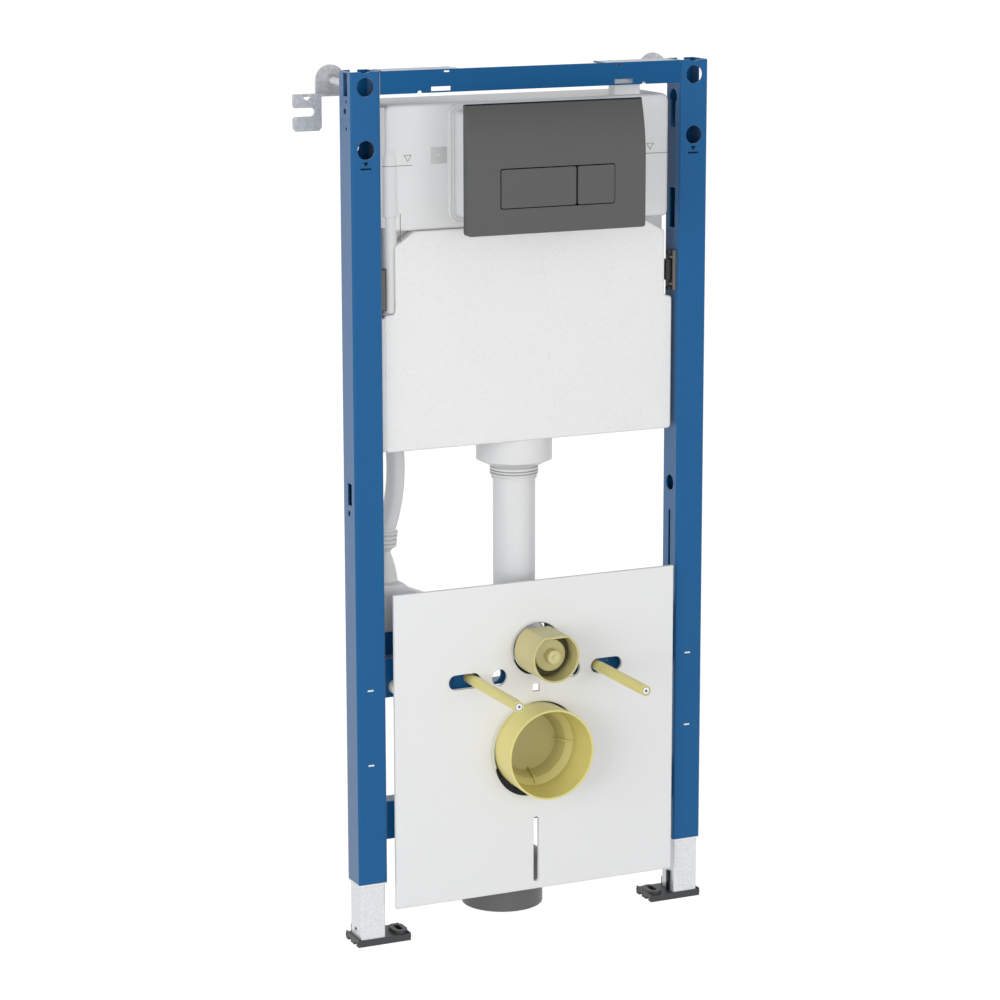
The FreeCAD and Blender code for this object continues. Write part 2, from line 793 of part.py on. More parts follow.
def make_wall_bracket(label, axis, outward):
    """A folded bracket: a round-topped tab on the rod, a shelf, and a slotted plate for the wall screw."""
    body = new_body(label)
    rod_z = TOP - d.access_hole_drop
    shelf_top = rod_z - d.bracket_shelf_drop
    back = behind(d.bracket_depth) + d.bracket_sheet
    tab = front_sketch(body, "tab", axis, back)
    draw_box(tab, -d.bracket_tab_radius, shelf_top - d.bracket_sheet, d.bracket_tab_radius, rod_z)
    pad(tab, d.bracket_sheet)
    crown = front_sketch(body, "crown", axis, back)
    draw_circle(crown, 0, rod_z, d.bracket_tab_radius)
    pad(crown, d.bracket_sheet)

    near_x = outward * d.bracket_plate_inner
    far_x = outward * (d.bracket_plate_inner + d.bracket_plate_width)
    tab_x = -outward * d.bracket_tab_radius
    plate_front = behind(d.bracket_depth) - d.bracket_plate_step
    shelf = plan_sketch(body, "shelf", axis, 0, shelf_top - d.bracket_sheet)
    draw_outline(shelf, [
        (tab_x, plate_front), (far_x, plate_front), (far_x, plate_front + d.bracket_sheet),
        (far_x - outward * d.bracket_shelf_cut, back), (tab_x, back)])
    pad(shelf, d.bracket_sheet)

    plate_low = shelf_top - d.bracket_plate_height
    chamfer = outward * d.bracket_chamfer
    plate = front_sketch(body, "plate", axis, plate_front)
    draw_outline(plate, [
        (near_x, shelf_top), (far_x, shelf_top), (far_x, plate_low + d.bracket_chamfer),
        (far_x - chamfer, plate_low), (near_x + chamfer, plate_low), (near_x, plate_low + d.bracket_chamfer)])
    pad(plate, d.bracket_sheet, reverse=True)
    slot = front_sketch(body, "slot", axis, plate_front)
    slot_z = shelf_top - d.bracket_slot_drop
    slot_end = far_x - outward * d.bracket_slot_run
    slot_mouth = far_x + outward * d.bracket_slot_width
    draw_slot(slot, (slot_mouth, slot_z), (slot_end, slot_z), d.bracket_slot_width / 2)
    draw_circle(slot, (near_x + far_x) / 2, shelf_top - d.bracket_notch_drop, d.bracket_notch_radius)
    pocket(slot, d.bracket_sheet)

    def slot_lip(edge):
        at_mouth = abs(edge.CenterOfMass.x - (axis + far_x).value) < 0.1
        at_slot = abs(edge.CenterOfMass.z - slot_z.value) < d.bracket_slot_width.value
        return runs_back(edge) and at_mouth and at_slot

    fillet(body, "slot_lips", d.bracket_slot_round, slot_lip)


def make_bracket_rod(label, axis):
    start = -FRONT - d.post_wall
    rod = rod_along_y(label, axis, TOP - d.access_hole_drop, d.bracket_rod_radius,
                      start, behind(d.bracket_depth))
    sub_parts.append(rod)


# Cistern and what is on it.


def make_cistern():
    """A moulded tank, stepped back behind the insulation block and grooved for the inlet pipe."""
    body = new_body("cistern_body")
    low = level(CISTERN_LOW)
    high = level(CISTERN_HIGH)
    shoulder = level(BLOCK_HIGH) + d.fit_gap
    face = front_sketch(body, "face", MIDDLE, behind(d.cistern_depth))
    draw_box(face, -d.cistern_half_width, low, d.cistern_half_width, high)
    pad(face, d.cistern_back - d.cistern_depth, reverse=True)
    step = front_sketch(body, "step", MIDDLE, behind(d.cistern_depth))
    wide = d.cistern_half_width + d.cistern_edge
    draw_box(step, -wide, low - d.cistern_edge, wide, shoulder)
    pocket(step, d.block_back - d.cistern_depth + d.fit_gap)

    def top_corner(edge):
        return runs_back(edge) and edge.CenterOfMass.z > high.value - 0.1

    fillet(body, "corners", d.cistern_corner, top_corner)

    def shoulder_end(edge):
        at_side = abs(edge.CenterOfMass.x - MIDDLE.value) > d.cistern_half_width.value - 0.1
        return runs_back(edge) and at_side and abs(edge.CenterOfMass.z - shoulder.value) < 0.1

    fillet(body, "shoulders", d.cistern_shoulder, shoulder_end)

    def front_rim(edge):
        at_front = abs(edge.CenterOfMass.y - behind(d.cistern_depth).value) < 0.1
        return at_front and edge.CenterOfMass.z > shoulder.value + 0.1

    fillet(body, "rim", d.cistern_edge, front_rim)
    groove = plan_sketch(body, "groove", MIDDLE, FRONT, low)
    draw_circle(groove, -d.inlet_offset, d.inlet_depth, d.inlet_radius + d.fit_gap)
    pocket(groove, INLET_HIGH - CISTERN_LOW + d.fit_gap, reverse=True)
    panels = front_sketch(body, "panels", MIDDLE, behind(d.cistern_back))
    margin = d.cistern_panel_margin
    reach = d.cistern_half_width - margin
    for start, end in ((-reach, -margin / 2), (margin / 2, reach)):
        draw_box(panels, start, low + margin, end, high - margin)
    pocket(panels, d.cistern_panel_depth, reverse=True)


def make_collar():
    """The raised rounded frame around the service opening."""
    body = new_body("service_collar")
    ring = front_sketch(body, "ring", MIDDLE, behind(d.cistern_depth))
    low = level(COLLAR_LOW)
    high = level(COLLAR_HIGH)
    wide = d.collar_half_width
    band = d.collar_band
    draw_box(ring, -wide, low, wide, high)
    draw_box(ring, -wide + band, low + band, wide - band, high - band)
    pad(ring, d.collar_proud)

    def outer_corner(edge):
        return runs_back(edge) and abs(edge.CenterOfMass.x - MIDDLE.value) > wide.value - 0.1

    fillet(body, "corners", d.collar_corner, outer_corner)

    def inner_corner(edge):
        return runs_back(edge) and abs(edge.CenterOfMass.x - MIDDLE.value) < (wide - band).value + 0.1

    fillet(body, "inner_corners", d.mount_corner + d.mount_gap, inner_corner)


def make_plate_mount():
    """The box frame that carries the flush plate in front of the service opening."""
    body = new_body("plate_mount")
    wide = d.collar_half_width - d.collar_band - d.mount_gap
    low = level(COLLAR_LOW) + d.collar_band + d.mount_gap
    high = level(COLLAR_HIGH) - d.collar_band - d.mount_gap
    wall = d.mount_wall
    frame = front_sketch(body, "frame", MIDDLE, behind(d.cistern_depth))
    draw_box(frame, -wide, low, wide, high)
    draw_box(frame, -wide + wall, low + wall, wide - wall, high - wall)
    pad(frame, d.cistern_depth + d.flush_plate_standoff)

    def outer_corner(edge):
        return runs_back(edge) and abs(edge.CenterOfMass.x - MIDDLE.value) > wide.value - 0.1

    fillet(body, "corners", d.mount_corner, outer_corner)


def make_insulation_block():
    """The foam block in front of the tank, with chamfered shoulders and notches at the posts."""
    body = new_body("insulation_block")
    low = level(BLOCK_LOW)
    high = level(BLOCK_HIGH)
    notch_low = level(NOTCH_LOW)
    notch_high = high - d.block_shoulder_drop
    wide = d.block_half_width
    left_notch = -d.block_notch_inner + d.block_notch_shift
    right_notch = d.block_notch_inner + d.block_notch_shift
    chamfer = d.block_chamfer_inner
    face = front_sketch(body, "face", MIDDLE, behind(d.block_depth))
    draw_outline(face, [
        (-wide, low), (wide, low), (wide, notch_low), (right_notch, notch_low), (right_notch, notch_high),
        (chamfer, high), (-chamfer, high), (left_notch, notch_high), (left_notch, notch_low),
        (-wide, notch_low)])
    pad(face, d.block_back - d.block_depth, reverse=True)
    fillet(body, "corners", d.block_corner, runs_back)

    def front_edge(edge):
        return abs(edge.CenterOfMass.y - behind(d.block_depth).value) < 0.1

    fillet(body, "edge", d.block_edge, front_edge)
    groove = plan_sketch(body, "groove", MIDDLE, FRONT, notch_low)
    draw_circle(groove, -d.inlet_offset, d.inlet_depth, d.inlet_radius + d.fit_gap)
    pocket(groove, high - notch_low, reverse=True)
    recess = plan_sketch(body, "recess", MIDDLE, behind(d.flush_depth), low)
    draw_circle(recess, 0, 0, d.outlet_radius + d.fit_gap)
    pocket(recess, d.block_overhang + d.fit_gap, reverse=True)


def make_inlet_pipe():
    """The upright water pipe at the tank's left edge, with a stepped sleeve."""
    body = new_body("inlet_pipe")
    axis_x = MIDDLE - d.inlet_offset
    axis_y = behind(d.inlet_depth)
    low = NOTCH_LOW + d.fit_gap
    section = plan_sketch(body, "pipe", axis_x, axis_y, level(low))
    draw_circle(section, 0, 0, d.inlet_radius - d.inlet_step)
    pad(section, INLET_HIGH - low)
    sleeve = plan_sketch(body, "sleeve", axis_x, axis_y, level(low))
    draw_circle(sleeve, 0, 0, d.inlet_radius)
    pad(sleeve, BLOCK_HIGH + d.inlet_step_rise - low)


def make_clip(label, side):
    """A moulded clip on a post's inner face that keeps the tank in place."""
    body = new_body(label)
    base = side * INNER_HALF
    tip = side * (INNER_HALF - d.clip_thickness)
    chamfer = side * d.clip_chamfer
    near = behind(d.clip_front)
    far = near + d.clip_width
    low = level(NOTCH_LOW) + d.clip_rise
    high = low + d.clip_height
    plan = plan_sketch(body, "plan", MIDDLE, 0, low)
    draw_outline(plan, [
        (base, near), (tip + chamfer, near), (tip, near + d.clip_chamfer),
        (tip, far - d.clip_chamfer), (tip + chamfer, far), (base, far)])
    pad(plan, d.clip_height)
    recesses = side_sketch(body, "recesses", MIDDLE + tip)
    for start in (low, high - d.clip_recess_height):
        draw_box(recesses, near, start, far, start + d.clip_recess_height)
    pocket(recesses, d.clip_recess, reverse=side > 0)


def make_hanger():
    """The hook on the tank that holds it under the rail's right flange."""
    body = new_body("cistern_hanger")
    plan = plan_sketch(body, "plan", MIDDLE, 0, level(CISTERN_HIGH))
    near = behind(d.hanger_depth)
    draw_box(plan, d.hanger_start, near, d.hanger_start + d.hanger_width, near + d.hanger_thickness)
    pad(plan, d.cistern_drop - d.rail_sheet)


# Flush plate and its two buttons.


def make_flush_plate():
    """A bowed cover: flat below, curving back to a thin top edge, hollow behind and open for the buttons."""
    body = new_body("flush_plate")
    low = level(BLOCK_HIGH)
    high = low + d.flush_plate_height
    bend = low + d.flush_plate_flat
    lip = PLATE_BACK - d.flush_plate_lip
    half = d.flush_plate_width / 2
    section = side_sketch(body, "section", MIDDLE - half)
    corners = [(lip, high), (PLATE_BACK, high), (PLATE_BACK, low), (PLATE_FRONT, low), (PLATE_FRONT, bend)]
    for start, end in zip(corners, corners[1:]):
        section.addGeometry(Part.LineSegment(point(*start), point(*end)))
    sink = lip - PLATE_FRONT
    rise = high - bend
    radius = (sink * sink + rise * rise) / (sink * 2)
    turn = math.asin(rise.value / radius.value)
    circle = Part.Circle(point(PLATE_FRONT + radius, bend), UP, radius.value)
    bow = section.addGeometry(Part.ArcOfCircle(circle, math.pi - turn, math.pi))
    last = len(corners) - 2
    for index in range(last):
        section.addConstraint(Sketcher.Constraint("Coincident", index, 2, index + 1, 1))
    section.addConstraint(Sketcher.Constraint("Coincident", bow, 1, 0, 1))
    section.addConstraint(Sketcher.Constraint("Coincident", last, 2, bow, 2))
    for index, corner in enumerate(corners[:-1]):
        pin_point(section, index, 1, *corner)
    pin_point(section, last, 2, *corners[-1])
    pin_radius(section, bow, radius)
    pad(section, d.flush_plate_width)

    def foot_corner(edge):
        return runs_back(edge) and abs(edge.CenterOfMass.z - low.value) < 0.1

    fillet(body, "foot_corners", d.flush_plate_corner, foot_corner)

    def front_edge(edge):
        middle = edge.CenterOfMass
        at_side = abs(abs(middle.x - MIDDLE.value) - half.value) < 0.1
        at_front = abs(middle.y - PLATE_FRONT.value) < 0.1 and middle.z < bend.value - 0.1
        return at_front or (at_side and isinstance(edge.Curve, Part.Circle))

    fillet(body, "edge", d.flush_plate_edge, front_edge)
    hollow = front_sketch(body, "hollow", MIDDLE, PLATE_BACK)
    rim = d.flush_plate_rim
    draw_box(hollow, -half + rim, low + rim, half - rim, bend)
    pocket(hollow, d.flush_plate_thickness - d.flush_plate_skin, reverse=True)
    window = front_sketch(body, "window", MIDDLE, PLATE_FRONT)
    draw_box(window, -d.button_half_width, level(BUTTON_LOW), d.button_half_width, level(BUTTON_HIGH))
    pocket(window, d.flush_plate_thickness)

    def window_corner(edge):
        spread = abs(edge.CenterOfMass.x - MIDDLE.value)
        return runs_back(edge) and abs(spread - d.button_half_width.value) < 0.1

    fillet(body, "corners", d.window_corner, window_corner)
    guide_z = level(BUTTON_MIDDLE)
    reach = d.guide_height / 2
    guide = front_sketch(body, "guide", MIDDLE, PLATE_BACK)
    draw_box(guide, rim / 2 - half, guide_z - reach, half - rim / 2, guide_z + reach)
    pad(guide, d.guide_sheet)
    holes = front_sketch(body, "guide_holes", MIDDLE, PLATE_BACK)
    for start, end in (FULL_BUTTON, HALF_BUTTON):
        for x in (start + d.stem_inset, end - d.stem_inset):
            draw_circle(holes, x, guide_z, d.stem_radius + d.fit_gap)
    pocket(holes, d.guide_sheet, reverse=True)


def make_button(label, start, end):
    """A button whose two stems slide in the guide across the back of the flush plate."""
    body = new_body(label)
    gap = d.button_gap
    front = PLATE_FRONT - d.button_proud
    back = front + d.button_thickness
    face = front_sketch(body, "face", MIDDLE, front)
    draw_box(face, start + gap, level(BUTTON_LOW) + gap, end - gap, level(BUTTON_HIGH) - gap)
    pad(face, d.button_thickness, reverse=True)
    fillet(body, "corners", d.button_corner, runs_back)
    stems = front_sketch(body, "stems", MIDDLE, back)
    for x in (start + d.stem_inset, end - d.stem_inset):
        draw_circle(stems, x, level(BUTTON_MIDDLE), d.stem_radius)
    pad(stems, PLATE_BACK - back, reverse=True)


# Flush pipe, drain and their building plugs.


def make_flush_outlet():
    """The collar nut under the tank, tapering to two rings that grip the flush pipe."""
    body = new_body("flush_outlet")
    section = front_sketch(body, "section", MIDDLE, behind(d.flush_depth))
    bore = d.flush_radius + d.fit_gap
    ring = d.outlet_ring_radius
    neck = (bore + ring) / 2
    ring_height = d.outlet_ring_height
    high = level(CISTERN_LOW)
    taper_high = high - d.outlet_nut
    taper_low = taper_high - d.outlet_taper
    low = taper_low - d.outlet_tail
    upper_ring = low + d.outlet_ring_pitch
    draw_outline(section, [
        (bore, low), (ring, low), (ring, low + ring_height), (neck, low + ring_height), (neck, upper_ring),
        (ring, upper_ring), (ring, upper_ring + ring_height), (neck, upper_ring + ring_height),
        (neck, taper_low), (d.outlet_radius, taper_high), (d.outlet_radius, high), (bore, high)])
    revolve(section, "V_Axis")


def make_flush_pipe():
    """The flush pipe down from the tank, with its bend forward to the bowl."""
    body = new_body("flush_pipe")
    depth = behind(d.flush_depth)
    upper = level(CISTERN_LOW)
    path = side_sketch(body, "path", MIDDLE)
    axis_z = level(d.flush_height)
    mouth = (behind(-d.flush_mouth), axis_z)
    draw_bend(path, (depth, upper), (depth, axis_z), mouth, d.flush_bend, 1)
    outer = plan_sketch(body, "outer", MIDDLE, depth, upper)
    draw_circle(outer, 0, 0, d.flush_radius)
    sweep(outer, path, "AdditivePipe")
    inner = plan_sketch(body, "inner", MIDDLE, depth, upper)
    draw_circle(inner, 0, 0, d.flush_radius - d.flush_wall)
    sweep(inner, path, "SubtractivePipe")


def make_flush_plug():
    """The building plug in the flush mouth: an open cup with a flat top, and a neck in the pipe."""
    body = new_body("flush_plug")
    axis_z = level(d.flush_height)
    mouth = behind(-d.flush_mouth)
    rim = behind(-d.flush_cup_reach)
    floor = mouth - d.flush_cup_floor
    neck = d.flush_radius - d.flush_wall - d.fit_gap
    radius = d.flush_cup_radius
    section = side_sketch(body, "section", MIDDLE, z=axis_z)
    draw_outline(section, [
        (mouth + d.cup_neck, 0), (mouth + d.cup_neck, neck), (mouth, neck), (mouth, radius), (rim, radius),
        (rim, 0)])
    revolve(section, "H_Axis")
    cavity = front_sketch(body, "cavity", MIDDLE, rim)
    draw_circle(cavity, 0, axis_z, radius - d.cup_wall)
    pocket(cavity, floor - rim)
    flat_z = axis_z + d.flush_cup_flat
    above = front_sketch(body, "above", MIDDLE, rim)
    draw_box(above, -radius, flat_z, radius, axis_z + radius * 2)
    pocket(above, mouth - rim)
    half = (radius * radius - d.flush_cup_flat * d.flush_cup_flat).root()
    lid = front_sketch(body, "lid", MIDDLE, rim)
    draw_box(lid, -half, flat_z - d.cup_wall, half, flat_z)
    pad(lid, mouth - rim, reverse=True)


def make_flush_plug_core():
    """The grip inside the flush plug."""
    body = new_body("flush_plug_core")
    section = side_sketch(body, "section", MIDDLE, z=level(d.flush_height))
    floor = behind(-d.flush_mouth) - d.flush_cup_floor
    draw_outline(section, [
        (floor, 0), (floor, d.core_radius), (behind(-d.core_reach), d.core_radius),
        (behind(-d.core_reach), d.knob_radius), (behind(-d.knob_reach), d.knob_radius),
        (behind(-d.knob_reach), 0)])
    revolve(section, "H_Axis")


def make_drain_bend():
    """The drain: a socket in front, then a bend down to a wider spigot at the floor."""
    body = new_body("drain_bend")
    height = level(d.drain_height)
    depth = behind(d.drain_depth)
    back = behind(d.socket_length) - d.socket_front
    front = behind(-d.socket_front)
    bore = d.drain_radius - d.drain_wall
    spigot = d.drain_end_gap
    path = side_sketch(body, "path", MIDDLE)
    mouth = (back - d.drain_wall, height)
    draw_bend(path, (depth, spigot), (depth, height), mouth, d.drain_bend_radius, -1)
    outer = plan_sketch(body, "outer", MIDDLE, depth, spigot)
    draw_circle(outer, 0, 0, d.drain_radius)
    sweep(outer, path, "AdditivePipe")
    socket = side_sketch(body, "socket", MIDDLE, z=height)
    draw_outline(socket, [
        (front, d.socket_radius - d.socket_wall), (front, d.socket_radius), (back, d.socket_radius),
        (back, bore - d.drain_wall), (back - d.drain_wall, bore - d.drain_wall),
        (back - d.drain_wall, d.socket_radius - d.socket_wall)])
    revolve(socket, "H_Axis")
    adaptor = front_sketch(body, "adaptor", MIDDLE, depth)
    adaptor_high = spigot + d.spigot_length
    draw_outline(adaptor, [
        (bore, spigot), (d.spigot_radius, spigot), (d.spigot_radius, adaptor_high),
        (d.drain_radius, adaptor_high + d.spigot_taper), (bore, adaptor_high + d.spigot_taper)])
    revolve(adaptor, "V_Axis")
    inner = plan_sketch(body, "inner", MIDDLE, depth, spigot)
    draw_circle(inner, 0, 0, bore)
    sweep(inner, path, "SubtractivePipe")
    mouth_bore = plan_sketch(body, "mouth_bore", MIDDLE, depth, spigot)
    draw_circle(mouth_bore, 0, 0, d.spigot_radius - d.drain_wall)
    pocket(mouth_bore, d.spigot_length - d.drain_wall, reverse=True)


def make_drain_plug():
    """The building plug in the drain socket: a flared cup, two cones to its floor, and four ribs."""
    body = new_body("drain_plug")
    axis_z = level(d.drain_height)
    outer = d.socket_radius - d.socket_wall - d.drain_cup_gap
    flared = outer + d.drain_cup_flare
    rim = behind(-d.drain_cup_reach)
    seat = behind(d.drain_cup_seat)
    floor = seat - d.drain_cup_floor
    cone = behind(-d.drain_cup_cone_reach)
    step = behind(-d.drain_cup_step_reach)
    inside = [
        (step, d.drain_cup_step_radius), (cone, d.drain_cup_cone_radius), (floor, d.drain_cup_floor_radius)]
    section = side_sketch(body, "section", MIDDLE, z=axis_z)
    draw_outline(section, [
        (seat, 0), (seat, outer), (behind(-d.socket_front), outer), (rim, flared), (rim, flared - d.cup_wall),
        *inside, (floor, 0)])
    revolve(section, "H_Axis")

    rib = d.drain_rib_height
    outline = [(y, radius + rib / 3) for y, radius in inside]
    outline += [(y, radius - rib) for y, radius in reversed(inside)]
    upright = side_sketch(body, "upright_ribs", MIDDLE - d.drain_rib_width / 2, z=axis_z)
    level_ribs = plan_sketch(body, "level_ribs", MIDDLE, 0, axis_z - d.drain_rib_width / 2)
    for side in (-1, 1):
        draw_outline(upright, [(y, side * radius) for y, radius in outline])
        draw_outline(level_ribs, [(side * radius, y) for y, radius in outline])
    pad(upright, d.drain_rib_width)
    pad(level_ribs, d.drain_rib_width)


def make_drain_strap():
    """The strap that holds the drain socket down on the lower crossbar."""
    body = new_body("drain_strap")
    inner = d.socket_radius + d.fit_gap
    outer = inner + d.strap_sheet
    axis_z = level(d.drain_height)
    front = behind(d.strap_depth)
    ring = front_sketch(body, "ring", MIDDLE, front)
    draw_circle(ring, 0, axis_z, outer)
    draw_circle(ring, 0, axis_z, inner)
    pad(ring, d.strap_width, reverse=True)
    lower = front_sketch(body, "lower", MIDDLE, front)
    draw_box(lower, -outer - d.strap_sheet, axis_z - outer * 2, outer + d.strap_sheet, axis_z)
    pocket(lower, d.strap_width)
    legs = front_sketch(body, "legs", MIDDLE, front)
    for low_x, high_x in ((-outer, -inner), (inner, outer)):
        draw_box(legs, low_x, level(d.lower_bar_high), high_x, axis_z)
    pad(legs, d.strap_width, reverse=True)


# Sound insulation pad and bolts.


def make_pad():
    """The sheet that hangs on the bolts between the frame and the bowl."""
    body = new_body("protective_plate")
    half = d.pad_width / 2
    low = level(d.pad_low)
    face = behind(-d.pad_standoff - d.pad_thickness)
    sheet = front_sketch(body, "sheet", MIDDLE, face)
    draw_box(sheet, -half, low, half, low + d.pad_height)
    pad(sheet, d.pad_thickness, reverse=True)

    def cut(name, draw, *shape):
        drawing = front_sketch(body, name, MIDDLE, face)
        draw(drawing, *shape)
        pocket(drawing, d.pad_thickness)

    bolt_z = level(d.bolt_height)
    slot_radius = d.pad_slot_width / 2
    for name, side in (("left", -1), ("right", 1)):
        near = (side * BOLT_OFFSET, bolt_z)
        cut(f"{name}_slot", draw_slot, near, (side * d.pad_slot_reach, bolt_z), slot_radius)
        cut(f"{name}_tie_hole", draw_circle, side * d.tie_hole_centre, bolt_z, d.tie_hole_bore / 2)
    cut("flush_hole", draw_circle, 0, level(d.flush_height), d.pad_flush_bore / 2)
    drain_z = level(d.drain_height) - d.pad_drain_sag
    cut("drain_hole", draw_circle, 0, drain_z, d.pad_drain_bore / 2)
    drain_top = drain_z + d.pad_drain_bore / 2
    bridge = level(d.flush_height) - d.pad_flush_bore / 2 - drain_top
    mark = bridge * d.pad_mark_share / 2
    mark_z = drain_top + bridge * d.pad_mark_rise_share
    cut("mark", draw_box, -mark, mark_z - mark, mark, mark_z + mark)
    tear = d.pad_tear_width / 2
    tear_high = drain_z - d.pad_drain_bore / 2 - d.pad_tear_gap - tear
    cut("tear", draw_slot, (0, low + d.pad_tear_margin + tear), (0, tear_high), tear)


def make_buffer(label, side):
    """The round spacer that holds the sheet off the crossbar."""
    centre = MIDDLE + side * d.buffer_offset
    buffer = rod_along_y(label, centre, level(d.bolt_height), d.buffer_radius,
                         behind(-d.pad_standoff), behind(d.bar_depth))
    sub_parts.append(buffer)


def make_bolt(label, side):
    bolt = rod_along_y(label, MIDDLE + side * BOLT_OFFSET, level(d.bolt_height), d.bolt_radius,
                       behind(-d.bolt_reach), behind(d.bolt_back))
    sub_parts.append(bolt)


def make_sleeve(label, side):
    """The sleeve that keeps the bolt clean: a thin neck in the slot and a lip round the bolt's end."""
    body = new_body(label)
    front = behind(-d.sleeve_reach)
    lip = front + d.sleeve_lip
    neck = behind(-d.sleeve_neck_reach)
    back = behind(d.bar_depth)
    bore = d.bolt_radius + d.sleeve_gap
    section = side_sketch(body, "section", MIDDLE + side * BOLT_OFFSET, z=level(d.bolt_height))
    draw_outline(section, [
        (front, d.sleeve_lip_radius), (lip, d.sleeve_lip_radius), (lip, bore), (back, bore),
        (back, d.sleeve_neck_radius), (neck, d.sleeve_neck_radius), (neck, d.sleeve_radius),
        (front, d.sleeve_radius)])
    revolve(section, "H_Axis")


# Water supply on the left.


def make_conduit():
    """The bowed supply conduit: one wide arc, cut level under the tank and on the boot."""
    body = new_body("supply_conduit")
    bend = d.conduit_bend
    section = plan_sketch(body, "section", MIDDLE - d.conduit_offset - bend, behind(d.conduit_depth),
                          level(CONDUIT_APEX))
    draw_circle(section, bend, 0, d.conduit_radius)
    arc = revolve(section, "V_Axis")
    arc.Midplane = True
    bind(arc, "Angle", d.conduit_turn)
    doc.recompute()
    tank_end = plan_sketch(body, "tank_end", MIDDLE, 0, level(CISTERN_LOW))
    draw_box(tank_end, -bend, -bend, bend, bend)
    pocket(tank_end, bend, reverse=True)
    boot_end = plan_sketch(body, "boot_end", MIDDLE, 0, level(BOOT_HIGH))
    draw_box(boot_end, -bend, -bend, bend, bend)
    pocket(boot_end, bend)


def make_boot():
    """The ribbed boot between the conduit and the junction box."""
    body = new_body("conduit_boot")
    section = front_sketch(body, "section", MIDDLE - d.conduit_offset - BOOT_LEAN, behind(d.conduit_depth))
    high = level(BOOT_HIGH)
    neck = level(d.wc_bar_high + SUPPLY_RISE * d.boot_neck_share)
    rib = d.boot_rib_radius
    shank = d.conduit_radius
    pitch = (high - neck) / (BOOT_RIBS * 2 + 2)
    corners = [(0, high), (shank, high)]
    for number in range(BOOT_RIBS):
        upper = high - pitch * (2 * number)
        corners += [(rib, upper - pitch / 2), (rib, upper - pitch * 3 / 2), (shank, upper - pitch * 2)]
    corners += [
        (d.boot_neck_radius, neck), (d.boot_skirt_radius, level(JUNCTION_HIGH)), (0, level(JUNCTION_HIGH))]
    draw_outline(section, corners)
    revolve(section, "V_Axis")


def make_junction():
    """The junction box on the crossbar where the supply turns forward to the bowl."""
    body = new_body("junction_box")
    face = front_sketch(body, "face", MIDDLE, behind(d.junction_depth))
    low = level(d.wc_bar_high)
    high = level(JUNCTION_HIGH)
    inner_high = low + SUPPLY_RISE * d.junction_inner_share
    draw_outline(face, [
        (-d.junction_outer, low), (-d.junction_inner, low), (-d.junction_inner, inner_high),
        (-d.junction_shoulder, high), (-d.junction_outer, high)])
    pad(face, d.junction_thickness, reverse=True)


def check_and_write():
    """Refuse a failed document, then write one file for each sub-part."""
    doc.recompute()
    for thing in doc.Objects:
        if "Invalid" in thing.State or "Error" in thing.State:
            raise ValueError(f"{thing.Label} failed")
    os.makedirs("parts", exist_ok=True)
    for thing in sub_parts:
        shape = thing.Shape
        if shape.isNull() or not shape.isValid():
            raise ValueError(f"{thing.Label} has no valid shape")
        shape.exportStep(f"parts/{thing.Label}.step")
    print(len(sub_parts), "sub-parts written")


LEFT_AXIS = Term.of(0)
make_post("left_post", LEFT_AXIS, -1)
make_post("right_post", RIGHT_AXIS, 1)
make_leg("left_leg", LEFT_AXIS, -1)
make_leg("right_leg", RIGHT_AXIS, 1)
make_foot("left_foot", LEFT_AXIS, 1)
make_foot("right_foot", RIGHT_AXIS, -1)
make_top_rail()
make_wc_crossbar()
make_lower_crossbar()
make_wall_bracket("left_wall_bracket", LEFT_AXIS, -1)
make_wall_bracket("right_wall_bracket", RIGHT_AXIS, 1)
make_bracket_rod("left_bracket_rod", LEFT_AXIS)
make_bracket_rod("right_bracket_rod", RIGHT_AXIS)
make_cistern()
make_collar()
make_plate_mount()
make_insulation_block()
make_inlet_pipe()
make_clip("left_clip", -1)
make_clip("right_clip", 1)
make_hanger()
make_flush_plate()
make_button("full_flush_button", *FULL_BUTTON)
make_button("half_flush_button", *HALF_BUTTON)
make_flush_outlet()
make_flush_pipe()
make_flush_plug()
make_flush_plug_core()
make_drain_bend()
make_drain_plug()
make_drain_strap()
make_pad()
make_buffer("left_buffer", -1)
make_buffer("right_buffer", 1)
make_bolt("left_bolt", -1)
make_bolt("right_bolt", 1)
make_sleeve("left_bolt_sleeve", -1)
make_sleeve("right_bolt_sleeve", 1)
make_conduit()
make_boot()
make_junction()
check_and_write()
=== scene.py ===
"""Looks of the wall hung toilet frame: finishes, fasteners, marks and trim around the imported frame.

Sizes are in millimetres, in the part's own frame: +X to the right as seen from the front, +Y towards the
wall and +Z up. Shell and Recipe turn them into metres when a piece is made.
"""

import json
import logging
import math
from dataclasses import dataclass, field, replace
from enum import Enum
from functools import cache
from typing import Any, Mapping, Optional, Sequence

import bmesh
import bpy
from mathutils import Matrix, Vector


